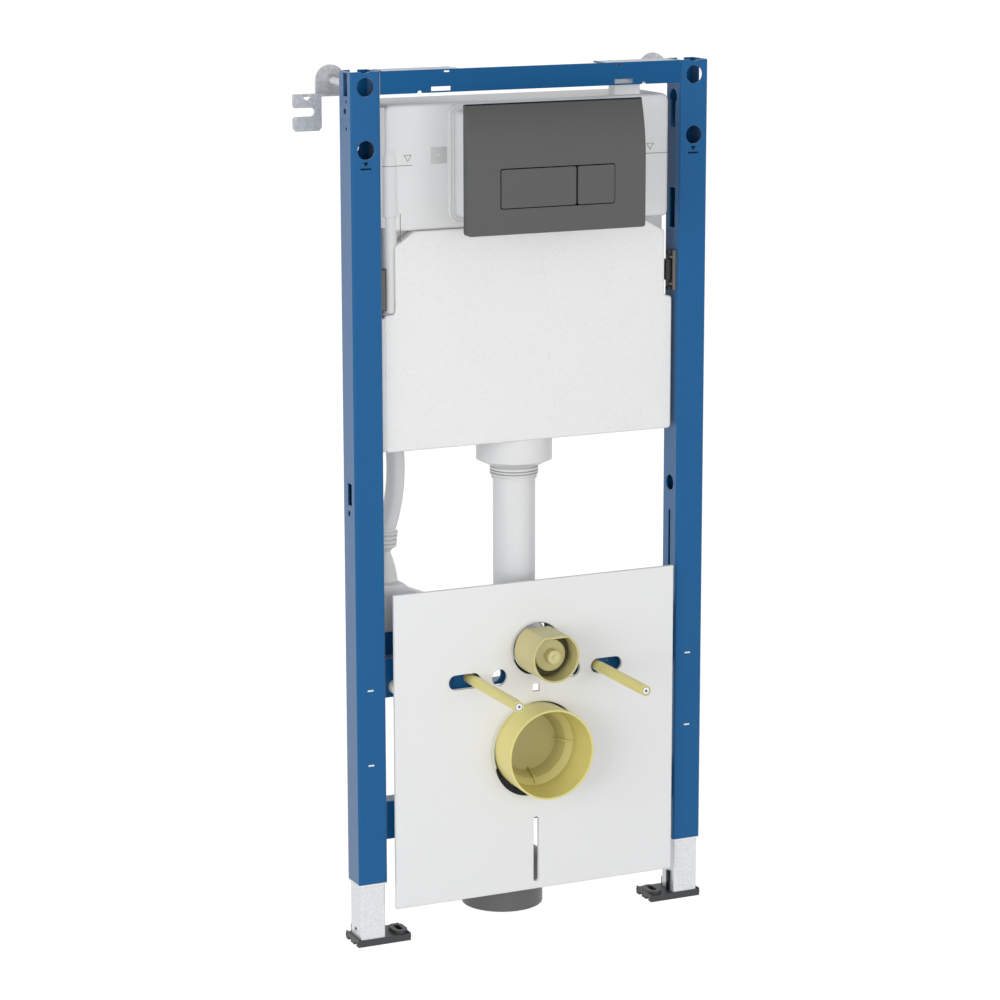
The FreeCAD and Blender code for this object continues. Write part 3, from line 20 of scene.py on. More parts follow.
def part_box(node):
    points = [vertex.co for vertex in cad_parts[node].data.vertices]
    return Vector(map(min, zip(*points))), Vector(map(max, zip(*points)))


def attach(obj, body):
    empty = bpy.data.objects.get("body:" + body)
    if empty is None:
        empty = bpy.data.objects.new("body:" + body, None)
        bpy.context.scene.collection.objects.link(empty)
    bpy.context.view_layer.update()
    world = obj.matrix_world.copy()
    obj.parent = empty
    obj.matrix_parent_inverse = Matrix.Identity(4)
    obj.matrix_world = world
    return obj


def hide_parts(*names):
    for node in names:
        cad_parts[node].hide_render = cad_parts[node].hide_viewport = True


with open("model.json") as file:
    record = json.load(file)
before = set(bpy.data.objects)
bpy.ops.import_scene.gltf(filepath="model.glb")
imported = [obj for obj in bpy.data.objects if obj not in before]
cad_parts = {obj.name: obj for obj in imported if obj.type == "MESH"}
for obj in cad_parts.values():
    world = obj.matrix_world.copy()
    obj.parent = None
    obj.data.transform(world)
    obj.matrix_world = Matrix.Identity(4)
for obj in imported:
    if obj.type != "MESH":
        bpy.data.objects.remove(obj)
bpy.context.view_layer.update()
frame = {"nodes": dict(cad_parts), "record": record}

MM = 0.001
SMOOTH_ANGLE = math.radians(32)
MERGE_MM = 0.002
SLIVER_MM = 0.0002
EDGE_SEGMENTS = 2
EDGE_PROFILE = 0.5
ARC_STEP = 15.0
QUARTER_POINTS = 7
HALF_POINTS = 13
TUBE_SIDE = (0.31, 0.87, 0.39)
CREST_SHARE = 0.42
CREST_SIDES = 4
HELIX_STEPS = 20
NUT_SIDES = 6
ROUND_SIDES = 32
TONE_DETAIL = 3.0
GRAIN_DETAIL = 2.0
ROUGH_PATCHES = (35.0, 4.0)
ROUGHNESS_SPREAD = 0.08
GRAIN_STRENGTH = 0.6
RELIEF_STRENGTH = 0.7
SHEEN_ROUGHNESS = 0.35
EDGE_ALIKE = (0.97, 0.75)
BEVEL_SAMPLES = 4
PIT_NOISE = (430.0, 1.0)
PIT_SPAN = (0.665, 0.725)
JOINT_SPAN = (0.5, 0.9)
JOINT_DARK = 0.12
BEAD_TOP = 0.8
log = logging.getLogger("toilet_frame")

Colour = tuple[float, float, float]
Flat = tuple[float, float]


class Body(Enum):
    """The bodies that pieces ride on."""

    FRAME = "frame"
    LEFT_LEG = "left_leg_set"
    RIGHT_LEG = "right_leg_set"


class Axis(Enum):
    """The axis that a turned or pushed shape runs along."""

    X = 0
    Y = 1
    Z = 2

    def place(self, first: float, second: float, along: float) -> Vector:
        """A point from two flat coordinates and one along the axis.

        Args:
            first: The first coordinate that the axis leaves, in x, y, z order.
            second: The second one.
            along: Place along the axis.

        Returns:
            The point.
        """
        values = [first, second]
        values.insert(self.value, along)
        return Vector(values)


class Pattern(Enum):
    """The surface pattern of a finish."""

    PLAIN = "plain"
    SPANGLE = "spangle"
    BEADS = "beads"


def corners(node: str) -> tuple[Vector, Vector]:
    """Lowest and highest corner of a CAD node in millimetres.

    Args:
        node: Name of the node.

    Returns:
        The two corners.
    """
    low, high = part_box(node)
    return Vector(low) / MM, Vector(high) / MM


def centre(node: str) -> Vector:
    """Middle of a CAD node's box in millimetres."""
    low, high = corners(node)
    return (low + high) / 2


def round_points(middle: Flat, radius: float, start: float, step: float, count: int,
                 squash: float = 1.0) -> list[Flat]:
    """Points on a circle or an arc.

    Args:
        middle: The circle's middle.
        radius: The circle's radius.
        start: Angle of the first point in degrees.
        step: Degrees from one point to the next.
        count: Number of points.
        squash: How much flatter it is along the second coordinate.

    Returns:
        The points.
    """
    turns = [math.radians(start + step * index) for index in range(count)]
    return [(middle[0] + radius * math.cos(turn), middle[1] + radius * squash * math.sin(turn)) for turn in turns]


class Side(Enum):
    """The two sides of the frame, each with the sign of the way to the middle."""

    LEFT = 1
    RIGHT = -1

    @property
    def leg(self) -> Body:
        """The body of this side's leg."""
        return Body.LEFT_LEG if self is Side.LEFT else Body.RIGHT_LEG

    def of(self, what: str) -> str:
        """The name of a node or piece on this side."""
        return f"{self.name.lower()}_{what}"

    def inner_face(self, node: str) -> float:
        """Where along X this side's node ends towards the middle."""
        low, high = corners(self.of(node))
        return high.x if self is Side.LEFT else low.x


class Graph:
    """A node tree that is filled node by node."""

    def __init__(self, tree: bpy.types.NodeTree) -> None:
        """Keep the tree."""
        self.tree = tree

    def node(self, kind: str, inputs: Optional[Mapping[Any, Any]] = None, **settings: Any) -> bpy.types.Node:
        """Add a node, set its properties, and set or link its inputs.

        Args:
            kind: Type name of the node.
            inputs: Values or output sockets by input name or number.
            settings: Properties of the node.

        Returns:
            The new node.
        """
        made = self.tree.nodes.new(kind)
        for name, value in settings.items():
            setattr(made, name, value)
        for name, value in (inputs or {}).items():
            if isinstance(value, bpy.types.NodeSocket):
                self.tree.links.new(value, made.inputs[name])
            else:
                made.inputs[name].default_value = value
        return made

    def math(self, operation: str, *values: Any) -> bpy.types.NodeSocket:
        """The result of one sum.

        Args:
            operation: Name of the operation.
            values: Values or sockets that go in.

        Returns:
            The output socket.
        """
        return self.node("ShaderNodeMath", dict(enumerate(values)), operation=operation).outputs[0]

    def spread(self, value: Any, low: Any, high: Any, start: float, end: float) -> bpy.types.NodeSocket:
        """A value that goes from start to end as the given one goes from low to high.

        Args:
            value: Socket that goes in.
            low: Where the change begins.
            high: Where it ends.
            start: Result up to low.
            end: Result from high on.

        Returns:
            The output socket.
        """
        return self.node("ShaderNodeMapRange", {
            "Value": value, "From Min": low, "From Max": high, "To Min": start, "To Max": end}).outputs[0]

    def shade(self, colour: Any, factor: Any) -> bpy.types.NodeSocket:
        """A colour made lighter or darker by a factor."""
        return self.node("ShaderNodeVectorMath", {0: colour, "Scale": factor}, operation="SCALE").outputs[0]

    def mixed(self, share: Any, first: Any, second: Any) -> bpy.types.NodeSocket:
        """A colour between two others."""
        return self.node("ShaderNodeMix", {0: share, 6: first, 7: second}, data_type="RGBA").outputs[2]

    def group(self, tree: bpy.types.NodeTree, inputs: Mapping[str, Any]) -> bpy.types.Node:
        """Place a shared effect with its own values.

        Args:
            tree: Tree of the effect.
            inputs: Values or sockets by input name.

        Returns:
            The group node.
        """
        return self.node(self.tree.bl_idname.replace("Tree", "Group"), inputs, node_tree=tree)


class ShaderGroup(Graph):
    """A shared effect with named inputs and outputs, which are numbers unless KINDS says otherwise."""

    KINDS = {"Colour": "NodeSocketColor", "Dull": "NodeSocketColor", "Normal": "NodeSocketVector"}

    def __init__(self, name: str, inputs: Sequence[str], outputs: Sequence[str]) -> None:
        """Make the group's tree and its sockets.

        Args:
            name: Name of the group.
            inputs: Names of the inputs.
            outputs: Names of the outputs.
        """
        super().__init__(bpy.data.node_groups.new(name, "ShaderNodeTree"))
        for way, titles in (("INPUT", inputs), ("OUTPUT", outputs)):
            for title in titles:
                kind = self.KINDS.get(title, "NodeSocketFloat")
                self.tree.interface.new_socket(name=title, in_out=way, socket_type=kind)
        self.given = self.node("NodeGroupInput").outputs
        self.place = self.node("ShaderNodeTexCoord").outputs["Object"]

    def noise(self, scale: Any, detail: float) -> bpy.types.NodeSocket:
        """A noise value on object coordinates."""
        return self.node("ShaderNodeTexNoise", {
            "Vector": self.place, "Scale": scale, "Detail": detail}).outputs["Fac"]

    def around_one(self, value: Any, amount: Any) -> bpy.types.NodeSocket:
        """A factor that drifts about 1 as the value drifts about a half."""
        return self.math("MULTIPLY_ADD", self.math("SUBTRACT", value, 0.5), amount, 1.0)

    def put_out(self, values: Mapping[str, bpy.types.NodeSocket]) -> bpy.types.NodeTree:
        """Link the results to the group's outputs and give the finished tree."""
        self.node("NodeGroupOutput", values)
        return self.tree


@cache
def slow_tone() -> bpy.types.NodeTree:
    """Slow light and dark drift of a colour, as moulded and painted faces have.

    Returns:
        The group's tree.
    """
    group = ShaderGroup("slow_tone", ("Colour", "Amount", "Scale"), ("Colour",))
    drift = group.around_one(group.noise(group.given["Scale"], TONE_DETAIL), group.given["Amount"])
    return group.put_out({"Colour": group.shade(group.given["Colour"], drift)})


@cache
def fine_grain() -> bpy.types.NodeTree:
    """Fine surface grain: a height for the bump and a roughness that varies a little.

    Returns:
        The group's tree.
    """
    group = ShaderGroup("fine_grain", ("Scale", "Roughness", "Spread"), ("Height", "Roughness"))
    patches = group.math("SUBTRACT", group.noise(*ROUGH_PATCHES), 0.5)
    rough = group.math("MULTIPLY_ADD", patches, group.given["Spread"], group.given["Roughness"])
    return group.put_out({"Height": group.noise(group.given["Scale"], GRAIN_DETAIL), "Roughness": rough})


@cache
def soft_edge() -> bpy.types.NodeTree:
    """Rounded normals along edges, and a mask of those edges.

    Returns:
        The group's tree.
    """
    group = ShaderGroup("soft_edge", ("Radius",), ("Normal", "Edge"))
    rounded = group.node("ShaderNodeBevel", {"Radius": group.given["Radius"]}, samples=BEVEL_SAMPLES).outputs[0]
    flat = group.node("ShaderNodeNewGeometry").outputs["Normal"]
    alike = group.node("ShaderNodeVectorMath", {0: rounded, 1: flat}, operation="DOT_PRODUCT").outputs["Value"]
    return group.put_out({"Normal": rounded, "Edge": group.spread(alike, *EDGE_ALIKE, 0.0, 1.0)})


@cache
def zinc_spangle() -> bpy.types.NodeTree:
    """Zinc crystals: small cells of slightly different brightness.

    Returns:
        The group's tree.
    """
    group = ShaderGroup("zinc_spangle", ("Colour", "Scale", "Amount"), ("Colour", "Height"))
    cells = group.node("ShaderNodeTexVoronoi", {"Vector": group.place, "Scale": group.given["Scale"]})
    tone = group.node("ShaderNodeSeparateColor", {0: cells.outputs["Color"]}).outputs[0]
    shaded = group.shade(group.given["Colour"], group.around_one(tone, group.given["Amount"]))
    return group.put_out({"Colour": shaded, "Height": tone})


@cache
def painted_depth_shade() -> bpy.types.NodeTree:
    """Painted shade: colour that goes darker towards the back along Y, for the shade on the floor of a deep cup and on
    the flush plate's receding top.

    Returns:
        The group's tree.
    """
    group = ShaderGroup("painted_depth_shade", ("Colour", "Start", "End", "Dull"), ("Colour",))
    depth = group.node("ShaderNodeSeparateXYZ", {0: group.place}).outputs["Y"]
    share = group.spread(depth, group.given["Start"], group.given["End"], 0.0, 1.0)
    return group.put_out({"Colour": group.mixed(share, group.given["Colour"], group.given["Dull"])})


@cache
def foam_beads() -> bpy.types.NodeTree:
    """Pressed foam beads: shallow domes with darker joints and a few open pits.

    Returns:
        The group's tree.
    """
    group = ShaderGroup("foam_beads", ("Colour", "Scale", "Amount"), ("Colour", "Height"))
    beads = group.node("ShaderNodeTexVoronoi", {"Vector": group.place, "Scale": group.given["Scale"]})
    away = beads.outputs["Distance"]
    pit = group.spread(group.noise(*PIT_NOISE), *PIT_SPAN, 0.0, 1.0)
    dark = group.math("MAXIMUM", pit, group.spread(away, *JOINT_SPAN, 0.0, JOINT_DARK))
    keep = group.math("SUBTRACT", 1.0, group.math("MULTIPLY", dark, group.given["Amount"]))
    height = group.math("SUBTRACT", group.math("SUBTRACT", BEAD_TOP, away), pit)
    return group.put_out({"Colour": group.shade(group.given["Colour"], keep), "Height": height})


PATTERN_GROUPS = {Pattern.SPANGLE: zinc_spangle, Pattern.BEADS: foam_beads}


@dataclass(frozen=True)
class Finish:
    """One procedural finish.

    Attributes:
        name: Name of the material.
        slot: Material slot of the record that it belongs to.
        colour: Linear base colour.
        roughness: Mean roughness.
        metallic: 1 for bare metal.
        specular: Strength of the mirror part.
        sheen: Weight of the pale haze at shallow angles.
        dull: Colour of the painted shade in deep places, or none.
        dull_span: Where along Y the painted shade starts and where it is full, in millimetres.
        tone: Amount and scale of slow drift in the colour.
        grain: Scale and bump depth in millimetres of the fine grain.
        edge: Radius of softened edges in millimetres.
        painted_edge_colour: Colour that the softened edges are painted towards: lighter for painted highlights, darker
            for a dark outline.
        painted_edge_amount: How far they go.
        pattern: Kind of surface pattern.
        cells: Cells of the pattern per metre.
        contrast: Contrast of the pattern.
        relief: Bump depth of the pattern in millimetres.
    """

    name: str
    slot: str
    colour: Colour
    roughness: float
    metallic: float = 0.0
    specular: float = 0.5
    sheen: float = 0.0
    dull: Optional[Colour] = None
    dull_span: Flat = (-40.0, -8.0)
    tone: Flat = (0.05, 9.0)
    grain: Flat = (700.0, 0.02)
    edge: float = 0.6
    painted_edge_colour: Colour = (0.8, 0.8, 0.8)
    painted_edge_amount: float = 0.12
    pattern: Pattern = Pattern.PLAIN
    cells: float = 300.0
    contrast: float = 0.1
    relief: float = 0.02

    @cache
    def material(self) -> bpy.types.Material:
        """The finish's material, made from the shared effects on first use.

        Returns:
            The material.
        """
        material = bpy.data.materials.new(self.name)
        material.use_nodes = True
        material.node_tree.nodes.clear()
        graph = Graph(material.node_tree)
        colour = graph.group(slow_tone(), {
            "Colour": (*self.colour, 1.0), "Amount": self.tone[0], "Scale": self.tone[1]}).outputs["Colour"]
        # Painted shade: the colour goes towards the dull colour along Y, darker at the back.
        if self.dull:
            colour = graph.group(painted_depth_shade(), {
                "Colour": colour, "Dull": (*self.dull, 1.0), "Start": self.dull_span[0] * MM,
                "End": self.dull_span[1] * MM}).outputs["Colour"]
        grain = graph.group(fine_grain(), {
            "Scale": self.grain[0], "Roughness": self.roughness, "Spread": ROUGHNESS_SPREAD})
        soft = graph.group(soft_edge(), {"Radius": self.edge * MM})
        normal = graph.node("ShaderNodeBump", {
            "Height": grain.outputs["Height"], "Distance": self.grain[1] * MM, "Strength": GRAIN_STRENGTH,
            "Normal": soft.outputs["Normal"]}).outputs[0]
        if self.pattern is not Pattern.PLAIN:
            cells = graph.group(PATTERN_GROUPS[self.pattern](), {
                "Colour": colour, "Scale": self.cells, "Amount": self.contrast})
            colour = cells.outputs["Colour"]
            normal = graph.node("ShaderNodeBump", {
                "Height": cells.outputs["Height"], "Distance": self.relief * MM, "Strength": RELIEF_STRENGTH,
                "Normal": normal}).outputs[0]
        # Painted highlights along the softened edges: the edge mask mixes the colour towards the edge colour, which
        # paints a dark outline instead where it is darker.
        share = graph.math("MULTIPLY", soft.outputs["Edge"], self.painted_edge_amount)
        edge_painted = graph.mixed(share, colour, (*self.painted_edge_colour, 1.0))
        shader = graph.node("ShaderNodeBsdfPrincipled", {
            "Base Color": edge_painted, "Roughness": grain.outputs["Roughness"], "Normal": normal,
            "Metallic": self.metallic, "Specular IOR Level": self.specular, "Sheen Weight": self.sheen,
            "Sheen Roughness": SHEEN_ROUGHNESS})
        graph.node("ShaderNodeOutputMaterial", {"Surface": shader.outputs[0]})
        return material


# Edge colours lighter than the colour are painted highlights along the edges; the clip fronts' darker one paints a
# dark outline.
PAINT = Finish("blue_powder_coat", "blue_paint", (0.004, 0.097, 0.265), 0.3, specular=0.22, sheen=0.9,
               tone=(0.06, 5.0), grain=(520.0, 0.03), edge=0.9, painted_edge_colour=(0.1, 0.24, 0.46), painted_edge_amount=0.35)
# The top rail wears a darker, less glossy copy of the blue paint: painted shade.
SHADED_RAIL_PAINT = replace(PAINT, name="rail_paint_shaded", colour=(0.0035, 0.087, 0.238), specular=0.12, sheen=0.5)
ZINC = Finish("zinc_leg", "zinc_steel", (0.7, 0.72, 0.745), 0.38, metallic=0.55, tone=(0.05, 14.0),
              pattern=Pattern.SPANGLE, cells=620.0, contrast=0.16, relief=0.01, painted_edge_amount=0.2)
SHEET = Finish("galvanised_sheet", "bracket_steel", (0.6, 0.61, 0.635), 0.42, metallic=0.35, tone=(0.1, 18.0),
               pattern=Pattern.SPANGLE, cells=420.0, contrast=0.25, relief=0.015, painted_edge_amount=0.3)
FOOT = Finish("foot_moulding", "foot_plastic", (0.037, 0.039, 0.042), 0.45, tone=(0.12, 30.0),
              grain=(1100.0, 0.05), painted_edge_colour=(0.13, 0.135, 0.14), painted_edge_amount=0.45)
# Glossy black of the spring tongue, also used for the painted shade in the foot's screw slot.
TONGUE_AND_SHADE = Finish("tongue_gloss", "foot_plastic", (0.006, 0.006, 0.007), 0.16, specular=0.2, grain=(900.0, 0.01),
                painted_edge_colour=(0.05, 0.05, 0.05))
TANK = Finish("tank_moulding", "tank_plastic", (0.695, 0.7, 0.705), 0.42, tone=(0.04, 6.0),
              grain=(800.0, 0.02), edge=1.2, painted_edge_amount=0.35, painted_edge_colour=(0.9, 0.9, 0.9))
# Grey of the tank's faint patch, also used for the painted shade line along the foam's notch.
PATCH_AND_SHADE = Finish("tank_patch", "tank_plastic", (0.52, 0.525, 0.53), 0.5, grain=(800.0, 0.02), edge=0.1)
FOAM = Finish("foam_block", "foam", (0.77, 0.773, 0.773), 0.75, specular=0.25, tone=(0.03, 8.0),
              grain=(1500.0, 0.05), edge=1.5, pattern=Pattern.BEADS, cells=260.0, contrast=0.14, relief=0.2)
# The flush plate goes darker towards its receding top: painted shade. Its light edge colour paints highlights along
# the edges.
COVER = Finish("cover_satin", "cover_plastic", (0.098, 0.1, 0.099), 0.42, specular=0.2, tone=(0.05, 10.0),
               dull=(0.078, 0.08, 0.079), dull_span=(-92.3, -81.0),
               grain=(1300.0, 0.025), edge=1.2, painted_edge_colour=(0.3, 0.305, 0.305), painted_edge_amount=0.7)
BUTTON = Finish("button_satin", "button_plastic", (0.098, 0.1, 0.099), 0.4, specular=0.2, tone=(0.05, 14.0),
                grain=(1300.0, 0.025), edge=0.6, painted_edge_colour=(0.2, 0.205, 0.205), painted_edge_amount=0.3)
# The plug goes darker towards the floor of its cup: painted shade. Its bright edge colour paints highlights on the
# rims.
PLUG = Finish("plug_yellow", "plug_plastic", (0.72, 0.65, 0.235), 0.36, tone=(0.06, 20.0), dull=(0.44, 0.395, 0.175),
              grain=(900.0, 0.02), edge=1.3, painted_edge_colour=(0.95, 0.85, 0.2), painted_edge_amount=0.85)
DRAIN = Finish("drain_grey", "drain_plastic", (0.12, 0.123, 0.121), 0.42, tone=(0.06, 12.0),
               grain=(900.0, 0.025), painted_edge_colour=(0.2, 0.2, 0.2))
PAD = Finish("foam_sheet", "pad_foam", (0.77, 0.775, 0.785), 0.7, specular=0.25, tone=(0.02, 4.0),
             grain=(900.0, 0.05), edge=2.2, painted_edge_colour=(0.95, 0.95, 0.96), painted_edge_amount=0.8)
CLIP = Finish("clip_moulding", "clip_plastic", (0.118, 0.112, 0.106), 0.45, grain=(1000.0, 0.03), edge=0.9,
              painted_edge_colour=(0.02, 0.02, 0.02), painted_edge_amount=0.8)
CLIP_CORE = Finish("clip_core", "clip_plastic", (0.011, 0.011, 0.011), 0.4, grain=(1000.0, 0.03),
                   painted_edge_colour=(0.04, 0.04, 0.04))
BOLT = Finish("zinc_rod", "bolt_steel", (0.68, 0.69, 0.7), 0.3, metallic=0.85, tone=(0.1, 40.0),
              pattern=Pattern.SPANGLE, cells=900.0, contrast=0.15, relief=0.008)
BUFFER = Finish("buffer_cream", "buffer_plastic", (0.62, 0.59, 0.48), 0.55, grain=(900.0, 0.03))
PIPE = Finish("pipe_white", "pipe_plastic", (0.675, 0.678, 0.682), 0.4, tone=(0.04, 10.0), grain=(900.0, 0.02),
              edge=0.8)
INK = Finish("mark_ink", "blue_paint", (0.004, 0.005, 0.008), 0.7, specular=0.1, grain=(1500.0, 0.01),
             edge=0.05, painted_edge_colour=(0.01, 0.01, 0.01))
# Near black for painted shade on the flush plate: its top edge and the gaps round its buttons.
COVER_SHADE = Finish("cover_painted_shade", "cover_plastic", (0.006, 0.009, 0.018), 0.5, specular=0.15, grain=(1500.0, 0.01),
              edge=0.1, painted_edge_colour=(0.02, 0.02, 0.03))
# Grey of the tank's moulded marks, also used for the painted shadow line beside the inlet sleeve.
PENCIL_AND_SHADOW = Finish("tank_mark_ink_and_shadow", "tank_plastic", (0.2, 0.2, 0.205), 0.5, grain=(1500.0, 0.01), edge=0.05,
                painted_edge_colour=(0.3, 0.3, 0.3))
BOLT_END = Finish("bolt_end_zinc", "bolt_steel", (0.8, 0.8, 0.82), 0.45, metallic=0.2, grain=(1200.0, 0.02),
                  edge=0.3)
CREAM = Finish("cream_liner", "blue_paint", (0.84, 0.83, 0.79), 0.5, grain=(900.0, 0.02))
SEAL = Finish("seal_black", "drain_plastic", (0.008, 0.008, 0.009), 0.16, specular=0.22, grain=(900.0, 0.01),
              painted_edge_colour=(0.04, 0.04, 0.04))
CUP = Finish("flush_plug_yellow", "plug_plastic", (0.56, 0.51, 0.24), 0.36, tone=(0.06, 20.0),
             grain=(900.0, 0.02), edge=1.1, painted_edge_colour=(0.9, 0.8, 0.25), painted_edge_amount=0.8)
# Dark olive for painted shade in gaps: round the flush plug's grip and round the bolt ends.
GAP_SHADE = Finish("plug_gap_shade", "plug_plastic", (0.05, 0.045, 0.02), 0.5, grain=(900.0, 0.02), edge=0.2,
             painted_edge_colour=(0.1, 0.09, 0.04))
# Darker grey for painted shade in the outlet's grooves.
GROOVE_SHADE = Finish("outlet_groove_shade", "pipe_plastic", (0.33, 0.33, 0.335), 0.5, grain=(900.0, 0.02), edge=0.1,
                painted_edge_colour=(0.4, 0.4, 0.4))
NODE_FINISHES = {finish.slot: finish for finish in (
    PAINT, ZINC, SHEET, FOOT, TANK, FOAM, COVER, BUTTON, PLUG, DRAIN, PAD, CLIP, BOLT, BUFFER, PIPE)}
OWN_FINISHES = {"flush_plug": CUP, "top_rail": SHADED_RAIL_PAINT}


def dress_nodes() -> None:
    """Give every CAD node the material of its slot."""
    for row in frame["record"]["subparts"]:
        node = frame["nodes"][row["node"]]
        node.data.materials.clear()
        finish = OWN_FINISHES.get(row["node"], NODE_FINISHES[row["material_slot"]])
        node.data.materials.append(finish.material())
        log.info("node %s takes %s", row["node"], row["material_slot"])


def add_piece(mesh: bpy.types.Mesh, name: str, finish: Finish, body: Body, replaces: Sequence[str] = ()) -> None:
    """Put a finished mesh into the scene as a piece that rides on a body.

    Args:
        mesh: Mesh in metres, in place.
        name: Name of the piece.
        finish: Finish that it wears.
        body: Body that it moves with.
        replaces: CAD nodes that it stands for.
    """
    mesh.materials.append(finish.material())
    mesh.polygons.foreach_set("use_smooth", [True] * len(mesh.polygons))
    mesh.set_sharp_from_angle(angle=SMOOTH_ANGLE)
    piece = bpy.data.objects.new(name, mesh)
    bpy.context.scene.collection.objects.link(piece)
    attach(piece, body.value)
    if replaces:
        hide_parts(*replaces)
    log.info("piece %s rides on %s with %d faces", name, body.value, len(mesh.polygons))


class Shell:
    """A mesh under construction, in millimetres."""

    def __init__(self) -> None:
        """Start with an empty mesh."""
        self.mesh = bmesh.new()

    def prism(self, outline: Sequence[Flat], axis: Axis, low: float, high: float) -> None:
        """Push a flat outline along an axis.

        Args:
            outline: Corners in order, as the two coordinates that the axis leaves.
            axis: Direction of the push.
            low: Where it starts.
            high: Where it ends.
        """
        self.skin([self.ring(outline, axis, along) for along in (low, high)])

    def ring(self, outline: Sequence[Flat], axis: Axis, along: float) -> list[bmesh.types.BMVert]:
        """The corners of a flat outline at one place along an axis."""
        return [self.mesh.verts.new(axis.place(first, second, along)) for first, second in outline]

    def skin(self, rings: Sequence[Sequence[bmesh.types.BMVert]], closed: bool = False) -> None:
        """Join rings of equal length one after the other.

        Args:
            rings: The rings in order.
            closed: Whether the last joins the first, instead of a face on both.
        """
        joints = list(zip(rings, rings[1:]))
        if closed:
            joints.append((rings[-1], rings[0]))
        else:
            self.mesh.faces.new(rings[0])
            self.mesh.faces.new(list(reversed(rings[-1])))
        for first, second in joints:
            for index in range(len(first)):
                self.mesh.faces.new((first[index - 1], first[index], second[index], second[index - 1]))

    def box(self, low: Sequence[float], high: Sequence[float]) -> None:
        """A block between two corners."""
        self.prism([(low[0], low[1]), (high[0], low[1]), (high[0], high[1]), (low[0], high[1])], Axis.Z,
                   low[2], high[2])

    def lathe(self, profile: Sequence[Flat], middle: Flat, axis: Axis, steps: int = 64, ring: bool = False,
              squash: float = 1.0) -> None:
        """Turn a profile about an axis.

        Args:
            profile: Places along the axis with their radius.
            middle: The axis's two flat coordinates.
            axis: Direction of the axis.
            steps: Sides of the turned shape.
            ring: Whether the profile closes on itself, as that of a ring does.
            squash: How much flatter it is along the second coordinate.
        """
        self.skin([self.ring(round_points(middle, radius, 0.0, 360.0 / steps, steps, squash), axis, along)
                   for along, radius in profile], ring)

    def washer(self, outer: tuple[Flat, float], inner: tuple[Flat, float], near: float, far: float,
               steps: int = 96) -> None:
        """A flat ring that faces along Y and whose hole may sit off centre.

        Args:
            outer: Centre, as x and z, and radius of the ring.
            inner: Centre and radius of the hole.
            near: Depth of the front.
            far: Depth of the back.
            steps: Sides of both circles.
        """
        self.skin([self.ring(round_points(*circle, 0.0, 360.0 / steps, steps), Axis.Y, along)
                   for circle, along in ((outer, near), (inner, near), (inner, far), (outer, far))], closed=True)

    def tube(self, path: Sequence[Sequence[float]], radius: float, steps: int = 10) -> None:
        """A round wire along a path.

        Args:
            path: Points of the wire's middle.
            radius: Radius of the wire.
            steps: Sides of the wire.
        """
        points = [Vector(point) for point in path]
        side = Vector(TUBE_SIDE)
        rings = []
        for index, point in enumerate(points):
            ahead = points[min(index + 1, len(points) - 1)] - points[max(index - 1, 0)]
            ahead.normalize()
            side = (side - ahead * side.dot(ahead)).normalized()
            other = ahead.cross(side)
            rings.append([self.mesh.verts.new(point + side * across + other * up)
                          for across, up in round_points((0.0, 0.0), radius, 0.0, 360.0 / steps, steps)])
        self.skin(rings)

    def loop(self, low: Flat, high: Flat, corner: float, depth: float, radius: float) -> None:
        """A round bead along an upright rectangle with rounded corners.

        Args:
            low: Lowest corner of the bead's middle line, as x and z.
            high: Highest corner.
            corner: Radius of the corners.
            depth: Place along Y.
            radius: Radius of the bead.
        """
        path = [((low[0] + high[0]) / 2, depth, low[1])]
        for x, z, start in ((high[0] - corner, low[1] + corner, -90), (high[0] - corner, high[1] - corner, 0),
                            (low[0] + corner, high[1] - corner, 90), (low[0] + corner, low[1] + corner, 180)):
            path += [(a, depth, b) for a, b in round_points((x, z), corner, start, ARC_STEP, QUARTER_POINTS)]
        path.append(path[0])
        self.tube(path, radius)

    def round_edges(self, radius: float) -> None:
        """Round the sharp edges of all that is built so far.

        Args:
            radius: Radius of the rounding.
        """
        self.clean()
        sharp = [edge for edge in self.mesh.edges if edge.is_manifold and edge.calc_face_angle() > SMOOTH_ANGLE]
        bmesh.ops.bevel(self.mesh, geom=sharp, offset=radius, segments=EDGE_SEGMENTS, profile=EDGE_PROFILE,
                        affect="EDGES", clamp_overlap=True)

    def clean(self) -> None:
        """Merge doubles and turn the faces outwards."""
        bmesh.ops.remove_doubles(self.mesh, verts=self.mesh.verts, dist=MERGE_MM)
        bmesh.ops.dissolve_degenerate(self.mesh, edges=self.mesh.edges, dist=SLIVER_MM)
        bmesh.ops.recalc_face_normals(self.mesh, faces=self.mesh.faces)

    def piece(self, name: str, finish: Finish, body: Body = Body.FRAME, replaces: Sequence[str] = ()) -> None:
        """Turn the mesh into a piece.

        Args:
            name: Name of the piece.
            finish: Finish that it wears.
            body: Body that it moves with.
            replaces: CAD nodes that it stands for.
        """
        self.clean()
        mesh = bpy.data.meshes.new(name)
        self.mesh.to_mesh(mesh)
        self.mesh.free()
        mesh.transform(Matrix.Scale(MM, 4))
        add_piece(mesh, name, finish, body, replaces)


def rounded_box(name: str, finish: Finish, low: Sequence[float], high: Sequence[float], rounding: float,
                body: Body = Body.FRAME) -> None:
    """Add a block with rounded edges as a piece.

    Args:
        name: Name of the piece.
        finish: Finish that it wears.
        low: Lowest corner.
        high: Highest corner.
        rounding: Radius of the edges.
        body: Body that it moves with.
    """
    block = Shell()
    block.box(low, high)
    block.round_edges(rounding)
    block.piece(name, finish, body)


